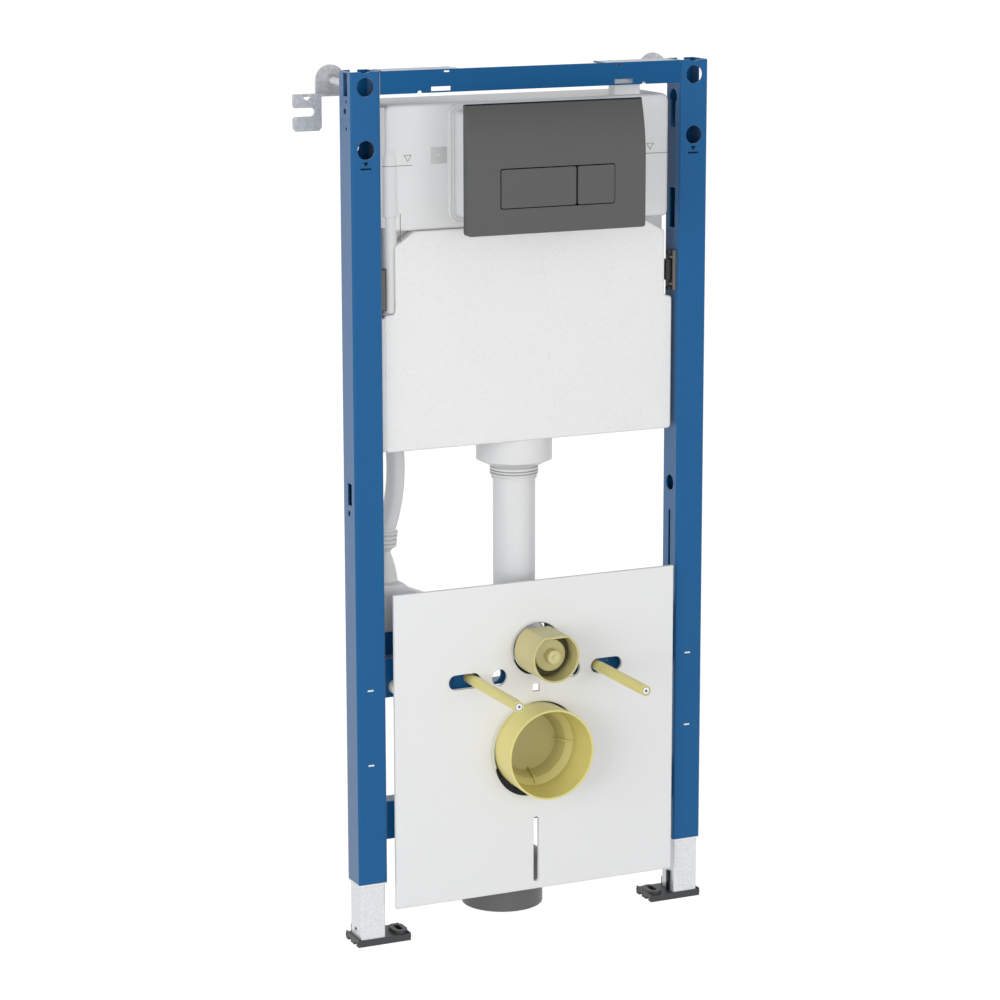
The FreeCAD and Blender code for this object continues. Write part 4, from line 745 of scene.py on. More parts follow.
class Recipe(Graph):
    """A geometry nodes tree with named inputs, which makes plain meshes."""

    def __init__(self, name: str, lengths: Sequence[str], counts: Sequence[str] = ()) -> None:
        """Make the tree and its inputs.

        Args:
            name: Name of the tree.
            lengths: Names of the inputs that are lengths in metres.
            counts: Names of the inputs that are whole numbers.
        """
        super().__init__(bpy.data.node_groups.new(name, "GeometryNodeTree"))
        self.sockets: dict[str, str] = {}
        for titles, kind in ((lengths, "NodeSocketFloat"), (counts, "NodeSocketInt")):
            for title in titles:
                socket = self.tree.interface.new_socket(name=title, in_out="INPUT", socket_type=kind)
                self.sockets[title] = socket.identifier
        self.tree.interface.new_socket(name="Geometry", in_out="OUTPUT", socket_type="NodeSocketGeometry")
        self.given = self.node("NodeGroupInput").outputs

    def joined(self, *parts: bpy.types.NodeSocket) -> bpy.types.NodeSocket:
        """Several geometries as one.

        Args:
            parts: The geometries.

        Returns:
            The output socket.
        """
        join = self.node("GeometryNodeJoinGeometry")
        for part in parts:
            self.tree.links.new(part, join.inputs[0])
        return join.outputs[0]

    def close(self, geometry: bpy.types.NodeSocket) -> None:
        """End the tree and realize what was placed."""
        real = self.node("GeometryNodeRealizeInstances", {"Geometry": geometry})
        self.node("NodeGroupOutput", {"Geometry": real.outputs[0]})

    def piece(self, name: str, finish: Finish, places: Sequence[Matrix], replaces: Sequence[str] = (),
              **values: float) -> None:
        """Run the tree once and copy the result to each place, as one piece on the frame.

        Args:
            name: Name of the piece.
            finish: Finish that it wears.
            places: Where the copies go, in metres.
            replaces: CAD nodes that it stands for.
            values: Inputs by name, with lengths in millimetres.
        """
        blank = bpy.data.objects.new("recipe", bpy.data.meshes.new("recipe"))
        bpy.context.scene.collection.objects.link(blank)
        modifier = blank.modifiers.new("recipe", "NODES")
        modifier.node_group = self.tree
        for title, value in values.items():
            modifier[self.sockets[title]] = value if isinstance(value, int) else value * MM
        evaluated = blank.evaluated_get(bpy.context.evaluated_depsgraph_get())
        single = bpy.data.meshes.new_from_object(evaluated)
        bpy.data.objects.remove(blank)
        gathered = bmesh.new()
        for place in places:
            copy = single.copy()
            copy.transform(place)
            gathered.from_mesh(copy)
            bpy.data.meshes.remove(copy)
        bpy.data.meshes.remove(single)
        bmesh.ops.remove_doubles(gathered, verts=gathered.verts, dist=MERGE_MM * MM)
        bmesh.ops.recalc_face_normals(gathered, faces=gathered.faces)
        mesh = bpy.data.meshes.new(name)
        gathered.to_mesh(mesh)
        gathered.free()
        add_piece(mesh, name, finish, Body.FRAME, replaces)


@cache
def thread_recipe() -> Recipe:
    """A threaded rod that stands on the origin: a core and one helical crest.

    Returns:
        The recipe, with Radius, Length and Pitch.
    """
    recipe = Recipe("threaded_rod", ("Radius", "Length", "Pitch"))
    radius, length, pitch = (recipe.given[name] for name in ("Radius", "Length", "Pitch"))
    crest = recipe.math("MULTIPLY", pitch, CREST_SHARE)
    middle = recipe.math("SUBTRACT", radius, crest)
    turns = recipe.math("DIVIDE", length, pitch)
    helix = recipe.node("GeometryNodeCurveSpiral", {
        "Resolution": HELIX_STEPS, "Rotations": turns, "Start Radius": middle, "End Radius": middle,
        "Height": length})
    section = recipe.node("GeometryNodeCurvePrimitiveCircle", {"Resolution": CREST_SIDES, "Radius": crest})
    ridge = recipe.node("GeometryNodeCurveToMesh", {
        "Curve": helix.outputs[0], "Profile Curve": section.outputs[0], "Fill Caps": True}).outputs[0]
    core = recipe.node("GeometryNodeMeshCylinder", {
        "Vertices": ROUND_SIDES, "Radius": middle, "Depth": length}).outputs["Mesh"]
    half = recipe.node("ShaderNodeCombineXYZ", {"Z": recipe.math("MULTIPLY", length, 0.5)}).outputs[0]
    raised = recipe.node("GeometryNodeTransform", {"Geometry": core, "Translation": half}).outputs[0]
    recipe.close(recipe.joined(ridge, raised))
    return recipe


@cache
def nut_recipe() -> Recipe:
    """A hexagon nut with a round bore.

    Returns:
        The recipe, with Radius, Bore and Height.
    """
    recipe = Recipe("hexagon_nut", ("Radius", "Bore", "Height"))
    edges = [recipe.node("GeometryNodeCurvePrimitiveCircle", {
        "Resolution": sides, "Radius": recipe.given[name]}).outputs[0]
        for name, sides in (("Radius", NUT_SIDES), ("Bore", ROUND_SIDES))]
    flat = recipe.node("GeometryNodeFillCurve", {"Curve": recipe.joined(*edges)}).outputs[0]
    raised = recipe.node("GeometryNodeExtrudeMesh", {
        "Mesh": flat, "Offset Scale": recipe.given["Height"], "Individual": False}).outputs[0]
    under = recipe.node("GeometryNodeFlipFaces", {"Mesh": flat}).outputs[0]
    recipe.close(recipe.joined(raised, under))
    return recipe


@cache
def bar_row_recipe() -> Recipe:
    """A row of equal bars along X, as ribs and slits stand.

    Returns:
        The recipe, with Width, Depth, Height, Spacing and Count.
    """
    recipe = Recipe("bar_row", ("Width", "Depth", "Height", "Spacing"), ("Count",))
    size = recipe.node("ShaderNodeCombineXYZ", {
        "X": recipe.given["Width"], "Y": recipe.given["Depth"], "Z": recipe.given["Height"]}).outputs[0]
    bar = recipe.node("GeometryNodeMeshCube", {"Size": size}).outputs["Mesh"]
    step = recipe.node("ShaderNodeCombineXYZ", {"X": recipe.given["Spacing"]}).outputs[0]
    line = recipe.node("GeometryNodeMeshLine", {"Count": recipe.given["Count"], "Offset": step}).outputs[0]
    recipe.close(recipe.node("GeometryNodeInstanceOnPoints", {"Points": line, "Instance": bar}).outputs[0])
    return recipe


def set_at(x: float, y: float, z: float, turn: Optional[Matrix] = None) -> Matrix:
    """A place in metres, with a turn or none, from millimetres."""
    return Matrix.Translation(Vector((x, y, z)) * MM) @ (turn or Matrix.Identity(4))


UP_TO_BACK = Matrix.Rotation(math.radians(-90), 4, "X")


@dataclass
class Posts:
    """Level marks, slits, liners, screws and nuts on the blue frame.

    The screw head is given by its height over the post's face and its share of the radius.
    """

    film: float = 0.2
    mark_half: float = 3.6
    mark_high: float = 1025.0
    mark_low: float = 1020.0
    line_half: float = 7.2
    line_z: float = 1016.6
    line_thick: float = 2.1
    mark_shift: float = -0.7
    slit_width: float = 8.0
    slit_height: float = 2.0
    slit_shift: float = -1.5
    slit_levels: Sequence[float] = (245.5, 345.5)
    liner_height: float = 2.6
    liner_half: float = 19.2
    liner_bore: float = 17.7
    screw_rise: float = 16.0
    screw_radius: float = 5.0
    screw_head: Sequence[Flat] = ((-0.3, 1.0), (1.7, 1.0), (2.5, 0.8), (2.5, 0.5), (1.1, 0.42))
    nut_radius: float = 11.0
    nut_bore: float = 6.3
    blind_bore: float = 2.0
    nut_height: float = 8.0
    bolt_z: float = 345.0
    wide_places: Sequence[float] = (115.0, 345.0)
    bolt_places: Sequence[float] = (140.0, 320.0)
    web_back: float = -7.0

    def build(self) -> None:
        """Build everything on the posts and the crossbar."""
        for side in Side:
            self.level_mark(side)
            self.liner(side)
            self.clamp_screw(side)
        self.slits()
        self.nuts()

    def level_mark(self, side: Side) -> None:
        """The printed triangle and line at one metre.

        Args:
            side: Side of the post.
        """
        middle = centre(side.of("post")).x + self.mark_shift
        front = corners(side.of("post"))[0].y
        near, far = front - self.film, front + self.film
        mark = Shell()
        mark.prism([(middle - self.mark_half, self.mark_high), (middle + self.mark_half, self.mark_high),
                    (middle, self.mark_low)], Axis.Y, near, far)
        half = self.line_thick / 2
        mark.box((middle - self.line_half, near, self.line_z - half),
                 (middle + self.line_half, far, self.line_z + half))
        mark.piece(side.of("level_mark"), INK)

    def liner(self, side: Side) -> None:
        """The plastic liner that shows under the post, round the leg.

        Args:
            side: Side of the post.
        """
        middle = centre(side.of("post")).x
        top = corners(side.of("post"))[0].z
        bottom = top - self.liner_height
        ring = Shell()
        for inward, outward in ((-self.liner_half, -self.liner_bore), (self.liner_bore, self.liner_half)):
            ring.box((middle - self.liner_half, inward, bottom), (middle + self.liner_half, outward, top))
            ring.box((middle + inward, -self.liner_bore, bottom), (middle + outward, self.liner_bore, top))
        ring.piece(side.of("post_liner"), CREAM)

    def clamp_screw(self, side: Side) -> None:
        """The screw in the post's inner face that clamps the leg.

        Args:
            side: Side of the post.
        """
        face = side.inner_face("post")
        level = corners(side.of("post"))[0].z + self.screw_rise
        head = Shell()
        head.lathe([(face + side.value * height, self.screw_radius * share) for height, share in self.screw_head],
                   (0.0, level), Axis.X, steps=24)
        head.piece(side.of("clamp_screw"), BOLT)

    def slits(self) -> None:
        """The pale slits in the posts' fronts."""
        left, right = (corners(side.of("post"))[0] for side in Side)
        middle = centre("left_post").x + self.slit_shift
        bar_row_recipe().piece(
            "post_slits", CREAM, [set_at(middle, left.y, level) for level in self.slit_levels],
            Width=self.slit_width, Depth=self.film * 2, Height=self.slit_height, Spacing=right.x - left.x, Count=2)

    def nuts(self) -> None:
        """The weld nuts and the bolts' nuts behind the crossbar."""
        for name, finish, xs, bore in (("crossbar_nuts", BOLT, self.bolt_places, self.nut_bore),
                                       ("weld_nuts", PAINT, self.wide_places, self.blind_bore)):
            places = [set_at(x, self.web_back, self.bolt_z, UP_TO_BACK) for x in xs]
            nut_recipe().piece(name, finish, places, Radius=self.nut_radius, Bore=bore, Height=self.nut_height)


@dataclass
class WallFixings:
    """Threaded rods and nuts that carry the wall brackets."""

    pitch: float = 1.5
    nut_radius: float = 9.8
    nut_height: float = 8.0
    nut_gap: float = 0.2

    def build(self) -> None:
        """Build both rods and their nuts."""
        places = []
        for side in Side:
            low, high = corners(side.of("bracket_rod"))
            middle = (low + high) / 2
            radius = (high.x - low.x) / 2
            thread_recipe().piece(
                side.of("threaded_rod"), BOLT, [set_at(middle.x, low.y, middle.z, UP_TO_BACK)],
                [side.of("bracket_rod")], Radius=radius, Length=high.y - low.y, Pitch=self.pitch)
            for y in (corners(side.of("post"))[1].y, high.y - self.nut_height):
                places.append(set_at(middle.x, y, middle.z, UP_TO_BACK))
        nut_recipe().piece("bracket_nuts", BOLT, places, Radius=self.nut_radius, Bore=radius - self.nut_gap,
                           Height=self.nut_height)


@dataclass
class Foot:
    """Spring tongue, corner knobs, locking pin, slot and cap of one foot.

    The knob is given by height and radius, the cap by its reach from the leg's middle and its radius.
    """

    side: Side
    tongue_proud: float = 0.3
    tongue_thick: float = 2.5
    tongue_depth: Flat = (-7.2, 0.2)
    tongue_low: float = 9.0
    tongue_round: float = 0.5
    knob_radius: float = 1.7
    knob_proud: float = 1.0
    knob: Sequence[Flat] = ((3.6, 1.19), (4.1, 1.7), (7.6, 1.7), (8.2, 1.19), (8.4, 0.51))
    pin_radius: float = 0.65
    pin_depth: float = 22.0
    pin_levels: Sequence[float] = (2.0, 8.0, 14.0, 19.6)
    pin_shift: float = -15.0
    slot_offset: float = 42.0
    slot_half: float = 6.0
    slot_radius: float = 3.8
    slot_span: Flat = (0.3, 7.0)
    cap: Sequence[Flat] = ((16.6, 2.9), (17.0, 2.9), (17.2, 2.5))
    cap_level: float = 16.0

    def build(self) -> None:
        """Build the trim of the foot."""
        self.tongue()
        self.knobs()
        self.pin()
        self.slot_shade_floor()
        self.hole_cap()

    def tongue(self) -> None:
        """The glossy spring tongue beside the leg."""
        face = self.side.inner_face("leg")
        top = corners(self.side.of("foot"))[1].z + self.tongue_proud
        near, far = sorted((face, face + self.side.value * (self.tongue_thick + self.tongue_proud)))
        rounded_box(self.side.of("foot_tongue"), TONGUE_AND_SHADE, (near, self.tongue_depth[0], self.tongue_low),
                    (far, self.tongue_depth[1], top), self.tongue_round, self.side.leg)

    def knobs(self) -> None:
        """The small knobs at the corners of the foot."""
        low, high = corners(self.side.of("foot"))
        inset = self.knob_radius - self.knob_proud
        knobs = Shell()
        for x in (low.x + inset, high.x - inset):
            for y in (low.y + self.knob_radius, high.y - self.knob_radius):
                knobs.lathe(self.knob, (x, y), Axis.Z, steps=20)
        knobs.piece(self.side.of("foot_knobs"), FOOT, self.side.leg)

    def pin(self) -> None:
        """The thin wire that stands at the foot's back edge."""
        x = centre(self.side.of("leg")).x + self.pin_shift
        wire = Shell()
        wire.tube([(x, self.pin_depth, level) for level in self.pin_levels], self.pin_radius)
        wire.piece(self.side.of("foot_pin"), FOOT, self.side.leg)

    def slot_shade_floor(self) -> None:
        """A black floor in the screw slot of the foot's boss: painted shade in the slot."""
        x = centre(self.side.of("leg")).x + self.side.value * self.slot_offset
        outline = []
        for start, middle in ((0, self.slot_half), (180, -self.slot_half)):
            outline += round_points((x, middle), self.slot_radius, start, ARC_STEP, HALF_POINTS)
        floor = Shell()
        # Painted shade: the slot's floor is black.
        floor.prism(outline, Axis.Z, *self.slot_span)
        floor.piece(self.side.of("slot_shade_floor"), TONGUE_AND_SHADE, self.side.leg)

    def hole_cap(self) -> None:
        """The bright cap in the locking hole on the leg's outer side."""
        middle = centre(self.side.of("leg")).x
        cap = Shell()
        cap.lathe([(middle - self.side.value * reach, radius) for reach, radius in self.cap],
                  (0.0, self.cap_level), Axis.X, steps=28)
        cap.piece(self.side.of("leg_cap"), ZINC, self.side.leg)


@dataclass
class Clips:
    """The clips that hold the tank's foam block between the posts.

    Each block is given by its reach from the post's face, its depth and its height, as pairs of limits.
    """

    rounding: float = 0.7
    bars: Mapping[Side, Sequence[Sequence[Flat]]] = field(default_factory=lambda: {
        Side.LEFT: (((1.3, 7.2), (-14.0, -11.0), (837.0, 888.2)),),
        Side.RIGHT: (((0.0, 5.4), (-14.0, -10.8), (836.5, 890.0)), ((0.5, 9.0), (-12.8, -9.8), (843.8, 846.6)),
                     ((0.5, 9.0), (-12.8, -9.8), (879.2, 882.0)))})
    latches: Mapping[Side, Sequence[Sequence[Flat]]] = field(default_factory=lambda: {
        Side.LEFT: (((0.0, 8.8), (-13.2, -10.6), (835.6, 889.4)), ((0.0, 4.0), (-10.5, 15.0), (838.0, 887.0))),
        Side.RIGHT: (((2.0, 13.5), (-9.4, 0.0), (850.0, 877.5)), ((0.0, 11.0), (-10.4, -4.0), (836.8, 841.6)),
                     ((0.0, 11.0), (-10.4, -4.0), (884.4, 889.6)), ((0.0, 3.0), (-10.6, 12.0), (838.0, 888.0)))})

    def build(self) -> None:
        """Build both clips, each as a grey front and a black latch."""
        for side in Side:
            front = self.blocks(side, self.bars[side])
            front.piece(side.of("clip_moulding"), CLIP, Body.FRAME, [side.of("clip")])
            self.blocks(side, self.latches[side]).piece(side.of("clip_latch"), CLIP_CORE)

    def blocks(self, side: Side, rows: Sequence[Sequence[Flat]]) -> Shell:
        """Rounded blocks that stand on a post's inner face.

        Args:
            side: Side of the post.
            rows: Limits of each block.

        Returns:
            The mesh under construction.
        """
        face = side.inner_face("post")
        shell = Shell()
        for reach, depth, height in rows:
            xs = sorted(face + side.value * value for value in reach)
            shell.box((xs[0], depth[0], height[0]), (xs[1], depth[1], height[1]))
        shell.round_edges(self.rounding)
        return shell


@dataclass
class Tank:
    """Level marks, beads, pipe and ribs on the tank.

    The patch's dot is given in films from the tank's front and in shares of its radius, the sleeve's mouth by
    its rise and its cut from the sleeve's radius, and the beads by inset and corner.
    """

    film: float = 0.15
    stroke: float = 0.9
    bead: float = 0.8
    beads_in: Sequence[Flat] = ((2.2, 12.0), (6.2, 8.5))
    mount_grow: float = 0.3
    mount_corner: float = 5.3
    mount_bead: float = 0.96
    dot_radius: float = 1.6
    dot: Sequence[Flat] = ((1.0, 1.0), (-2.5, 1.0), (-3.5, 0.6))
    lip_reach: float = 3.2
    lip_overlap: float = 2.0
    lip_inset: float = 0.6
    lip_rise: float = 1.2
    lip_drop: float = 8.0
    lip_round: float = 0.8
    side_lip_low: Sequence[float] = (20.6, -6.6, 940.0)
    side_lip_high: Sequence[float] = (31.0, -0.5, 1091.0)
    side_lip_round: float = 1.0
    groove_axis: Flat = (38.0, 2.0)
    groove_fill: float = 11.4
    groove_span: Flat = (958.0, 1037.6)
    groove_sides: int = 64
    groove_inset: float = 0.02
    tank_corner: Flat = (34.2, -3.0)
    tank_round: float = 5.0
    sleeve_radius: float = 11.35
    sleeve_mouth: Sequence[Flat] = ((0.0, 1.5), (0.5, 0.4), (1.6, 0.0))
    sleeve_bevel: float = 0.6
    pipe_step: float = 957.0
    neck_axis: Flat = (38.0, -3.5)
    neck_squash: float = 0.5
    neck: Sequence[Flat] = ((954.0, 12.9), (963.0, 12.9), (966.0, 12.4), (1026.0, 12.2), (1030.0, 11.6),
                            (1032.6, 10.2), (1034.2, 8.0), (1035.0, 4.5), (1035.3, 0.6))
    neck_mark: float = 12.5
    neck_mark_thick: float = 1.0
    notch_shade_line: Sequence[Sequence[float]] = (
        (41.1, -9.8, 914.0), (41.1, -9.8, 880.0), (41.1, -9.8, 836.0), (40.6, -9.8, 833.4), (39.2, -9.8, 831.8),
        (36.8, -9.8, 831.2), (30.0, -9.8, 831.2), (24.0, -9.8, 831.2))
    notch_stroke: float = 0.55
    gap_low: Sequence[float] = (49.7, -8.3, 916.0)
    gap_high: Sequence[float] = (50.7, -7.9, 957.0)
    gap_round: float = 0.1
    outlet_axis: Flat = (230.0, 40.0)
    outlet_ridges: Sequence[Flat] = ((600.4, 602.3), (603.9, 606.0), (607.6, 610.4))
    outlet_sides: int = 72
    ridge_radius: float = 32.0
    ridge_root: float = 29.0
    ridge_bevel: float = 0.4
    groove_radius: float = 30.4
    triangles: Sequence[float] = (61.0, 402.5)
    triangle_half: float = 5.4
    triangle_high: float = 1030.5
    triangle_low: float = 1021.5
    triangle_wall: float = 0.26
    lines: Sequence[Flat] = ((47.0, 67.0), (388.0, 428.0))
    line_z: float = 1017.3
    patch_low: Flat = (92.2, 1017.7)
    patch_high: Flat = (114.8, 1038.8)
    patch_round: float = 0.2
    rib_count: int = 5
    rib_width: float = 3.0
    rib_depth: float = 1.6
    rib_spacing: float = 28.0
    rib_sink: float = 1.2
    rib_starts: Flat = (-153.0, 41.0)
    rib_margin: float = 70.0

    def build(self) -> None:
        """Build everything on the tank."""
        face = corners("service_collar")[1].y
        self.level_marks(face)
        self.patch(face)
        self.lips()
        self.inlet()
        self.ridges()
        self.beads()
        self.back_ribs()

    def level_marks(self, face: float) -> None:
        """The moulded outline triangles and level lines.

        Args:
            face: Depth of the tank's front.
        """
        mark = Shell()
        near, far = face - self.film, face + self.film
        for middle in self.triangles:
            points = [Vector((middle - self.triangle_half, self.triangle_high)),
                      Vector((middle + self.triangle_half, self.triangle_high)), Vector((middle, self.triangle_low))]
            heart = (points[0] + points[1] + points[2]) / 3
            inner = [point.lerp(heart, self.triangle_wall) for point in points]
            for index in range(3):
                mark.prism([points[index - 1], points[index], inner[index], inner[index - 1]], Axis.Y, near, far)
        low_z, high_z = self.line_z - self.stroke / 2, self.line_z + self.stroke / 2
        for start, end in self.lines:
            mark.box((start, near, low_z), (end, far, high_z))
        outer, inner_radius = self.neck_mark, self.neck_mark - self.neck_mark_thick
        mark.lathe([(low_z, inner_radius), (low_z, outer), (high_z, outer), (high_z, inner_radius)],
                   self.neck_axis, Axis.Z, steps=48, ring=True, squash=self.neck_squash)
        mark.piece("tank_level_marks", PENCIL_AND_SHADOW)

    def patch(self, face: float) -> None:
        """The faint square with a light dot beside the collar.

        Args:
            face: Depth of the tank's front.
        """
        (left, low), (right, high) = self.patch_low, self.patch_high
        rounded_box("tank_patch", PATCH_AND_SHADE, (left, face - self.film * 2, low), (right, face + self.film, high),
                    self.patch_round)
        dot = Shell()
        dot.lathe([(face + self.film * films, self.dot_radius * share) for films, share in self.dot],
                  ((left + right) / 2, (low + high) / 2), Axis.Y, steps=24)
        dot.piece("tank_patch_dot", TANK)

    def lips(self) -> None:
        """The foam block's soft lip towards the left post and the tank's thin flange above it."""
        low, high = corners("insulation_block")
        top = corners("left_clip")[0].z - self.lip_drop
        rounded_box("foam_lip", FOAM, (low.x - self.lip_reach, low.y + self.lip_inset, low.z + self.lip_rise),
                    (low.x + self.lip_overlap, high.y - self.lip_inset, top), self.lip_round)
        rounded_box("tank_side_lip", TANK, self.side_lip_low, self.side_lip_high, self.side_lip_round)

    def inlet(self) -> None:
        """The inlet pipe's sleeve and the flat channel above it that is moulded onto the tank, with a dark line beside
        the sleeve and a grey line along the foam's notch, both painted shade.
        """
        low, _ = corners("inlet_pipe")
        radius, step = self.sleeve_radius, self.pipe_step
        sleeve = [(low.z + rise, radius - cut) for rise, cut in self.sleeve_mouth]
        sleeve += [(step - self.sleeve_bevel, radius), (step, radius - self.sleeve_bevel)]
        pipe = Shell()
        pipe.lathe(sleeve, self.groove_axis, Axis.Z, steps=48)
        pipe.lathe(self.neck, self.neck_axis, Axis.Z, squash=self.neck_squash)
        pipe.prism(self.groove_outline(), Axis.Z, *self.groove_span)
        pipe.piece("inlet_moulding", TANK, Body.FRAME, ["inlet_pipe"])
        # Dark line beside the sleeve: painted shadow in the gap to the tank.
        rounded_box("sleeve_gap", PENCIL_AND_SHADOW, self.gap_low, self.gap_high, self.gap_round)
        # Grey line along the foam's notch edge: painted shade at the notch's wall.
        line = Shell()
        line.tube(self.notch_shade_line, self.notch_stroke)
        line.piece("notch_shade_line", PATCH_AND_SHADE)

    def groove_outline(self) -> list[Flat]:
        """The outline of the pipe's groove, cut off at the tank's rounded corner.

        Returns:
            Points in x and y.
        """
        low, _ = corners("cistern_body")
        corner = Vector(self.tank_corner)
        outline = []
        for x, y in round_points(self.groove_axis, self.groove_fill, 0.0, 360.0 / self.groove_sides,
                                 self.groove_sides):
            point = Vector((max(x, low.x + self.groove_inset), max(y, low.y + self.groove_inset)))
            away = point - corner
            if away.x < 0 and away.y < 0 and away.length > self.tank_round:
                point = corner + away.normalized() * self.tank_round
            outline.append((point.x, point.y))
        return outline

    def ridges(self) -> None:
        """The fine ridges under the outlet nut and dark rings in the grooves between them, which are painted shade."""
        ridges = Shell()
        grooves = Shell()
        outer, root, bevel = self.ridge_radius, self.ridge_root, self.ridge_bevel
        for low, high in self.outlet_ridges:
            ridges.lathe([(low, root), (low, outer - bevel), (low + bevel, outer), (high - bevel, outer),
                          (high, outer - bevel), (high, root)], self.outlet_axis, Axis.Z, self.outlet_sides, ring=True)
        # Dark rings in the grooves: painted shade.
        for (_, low), (high, _) in zip(self.outlet_ridges, self.outlet_ridges[1:]):
            grooves.lathe([(low, root), (low, self.groove_radius), (high, self.groove_radius), (high, root)],
                          self.outlet_axis, Axis.Z, self.outlet_sides, ring=True)
        ridges.piece("outlet_ridges", PIPE)
        grooves.piece("outlet_shade_rings", GROOVE_SHADE)

    def beads(self) -> None:
        """Moulded beads along the collar's edges and round the plate's frame."""
        low, high = corners("service_collar")
        mount_low, mount_high = corners("plate_mount")
        grow = self.mount_grow
        rings = Shell()
        for inset, corner in self.beads_in:
            rings.loop((low.x + inset, low.z + inset), (high.x - inset, high.z - inset), corner, low.y, self.bead)
        rings.loop((mount_low.x - grow, mount_low.z - grow), (mount_high.x + grow, mount_high.z + grow),
                   self.mount_corner, low.y, self.mount_bead)
        rings.piece("collar_beads", TANK)

    def back_ribs(self) -> None:
        """Upright ribs in the two panels on the tank's back."""
        low, high = corners("cistern_body")
        middle = (low + high) / 2
        places = [set_at(middle.x + start, high.y - self.rib_sink, middle.z) for start in self.rib_starts]
        bar_row_recipe().piece(
            "tank_back_ribs", TANK, places, Width=self.rib_width, Depth=self.rib_depth,
            Height=high.z - low.z - self.rib_margin, Spacing=self.rib_spacing, Count=self.rib_count)


@dataclass
class Supply:
    """The ribbed boot and the box of the supply line, behind the foam sheet's upper left corner.

    Each rib is given by its rise and its cut from the rib's radius.
    """

    boot_axis: Flat = (46.5, 40.0)
    boot_foot: Sequence[Flat] = ((470.0, 15.2), (478.0, 14.7), (485.0, 13.6), (494.0, 11.9), (505.0, 8.6),
                                 (511.0, 6.3), (513.4, 6.2), (516.5, 9.0), (519.0, 12.6))
    rib_start: float = 519.5
    rib_pitch: float = 5.6
    rib_count: int = 4
    rib_low: float = 14.2
    rib_high: float = 15.8
    rib: Sequence[Flat] = ((0.0, 0.6), (0.7, 0.0), (3.2, 0.0), (3.9, 0.6), (4.1, 2.2), (5.4, 2.2))
    boot_top: Flat = (544.0, 12.4)
    box: Sequence[Flat] = ((30.5, 412.0), (110.0, 412.0), (110.0, 448.0), (68.0, 465.5), (61.5, 474.0), (30.5, 474.0))
    box_depth: Flat = (11.0, 55.0)
    box_round: float = 1.8

    def build(self) -> None:
        """Build the boot and the box."""
        profile = list(self.boot_foot)
        for index in range(self.rib_count):
            outer = self.rib_low + (self.rib_high - self.rib_low) * index / (self.rib_count - 1)
            start = self.rib_start + index * self.rib_pitch
            profile += [(start + rise, outer - cut) for rise, cut in self.rib]
        profile.append(self.boot_top)
        boot = Shell()
        boot.lathe(profile, self.boot_axis, Axis.Z, steps=48)
        boot.piece("boot_moulding", PIPE, Body.FRAME, ["conduit_boot"])
        box = Shell()
        box.prism(self.box, Axis.Y, *self.box_depth)
        box.round_edges(self.box_round)
        box.piece("supply_box", PIPE, Body.FRAME, ["junction_box"])


@dataclass
class Cover:
    """A dark strip along the flush plate's top and a dark sheet behind its buttons, both painted shade."""

    shadow_strip: Sequence[Flat] = ((-80.3, 1095.4), (-79.7, 1097.2), (-77.2, 1097.2), (-77.2, 1095.4))
    shadow_strip_span: Flat = (108.0, 352.0)
    shadow_strip_round: float = 0.15
    well_low: Sequence[float] = (127.5, -72.4, 952.5)
    well_high: Sequence[float] = (332.5, -71.2, 1080.5)
    well_round: float = 0.4

    def build(self) -> None:
        """Build the painted shade strip on the plate's upper edge and the painted shade sheet inside."""
        # The strip on the top edge and the sheet behind the buttons are painted shade.
        shadow_strip = Shell()
        shadow_strip.prism(self.shadow_strip, Axis.X, *self.shadow_strip_span)
        shadow_strip.round_edges(self.shadow_strip_round)
        shadow_strip.piece("plate_top_shadow_strip", COVER_SHADE)
        rounded_box("button_gap_shade", COVER_SHADE, self.well_low, self.well_high, self.well_round)


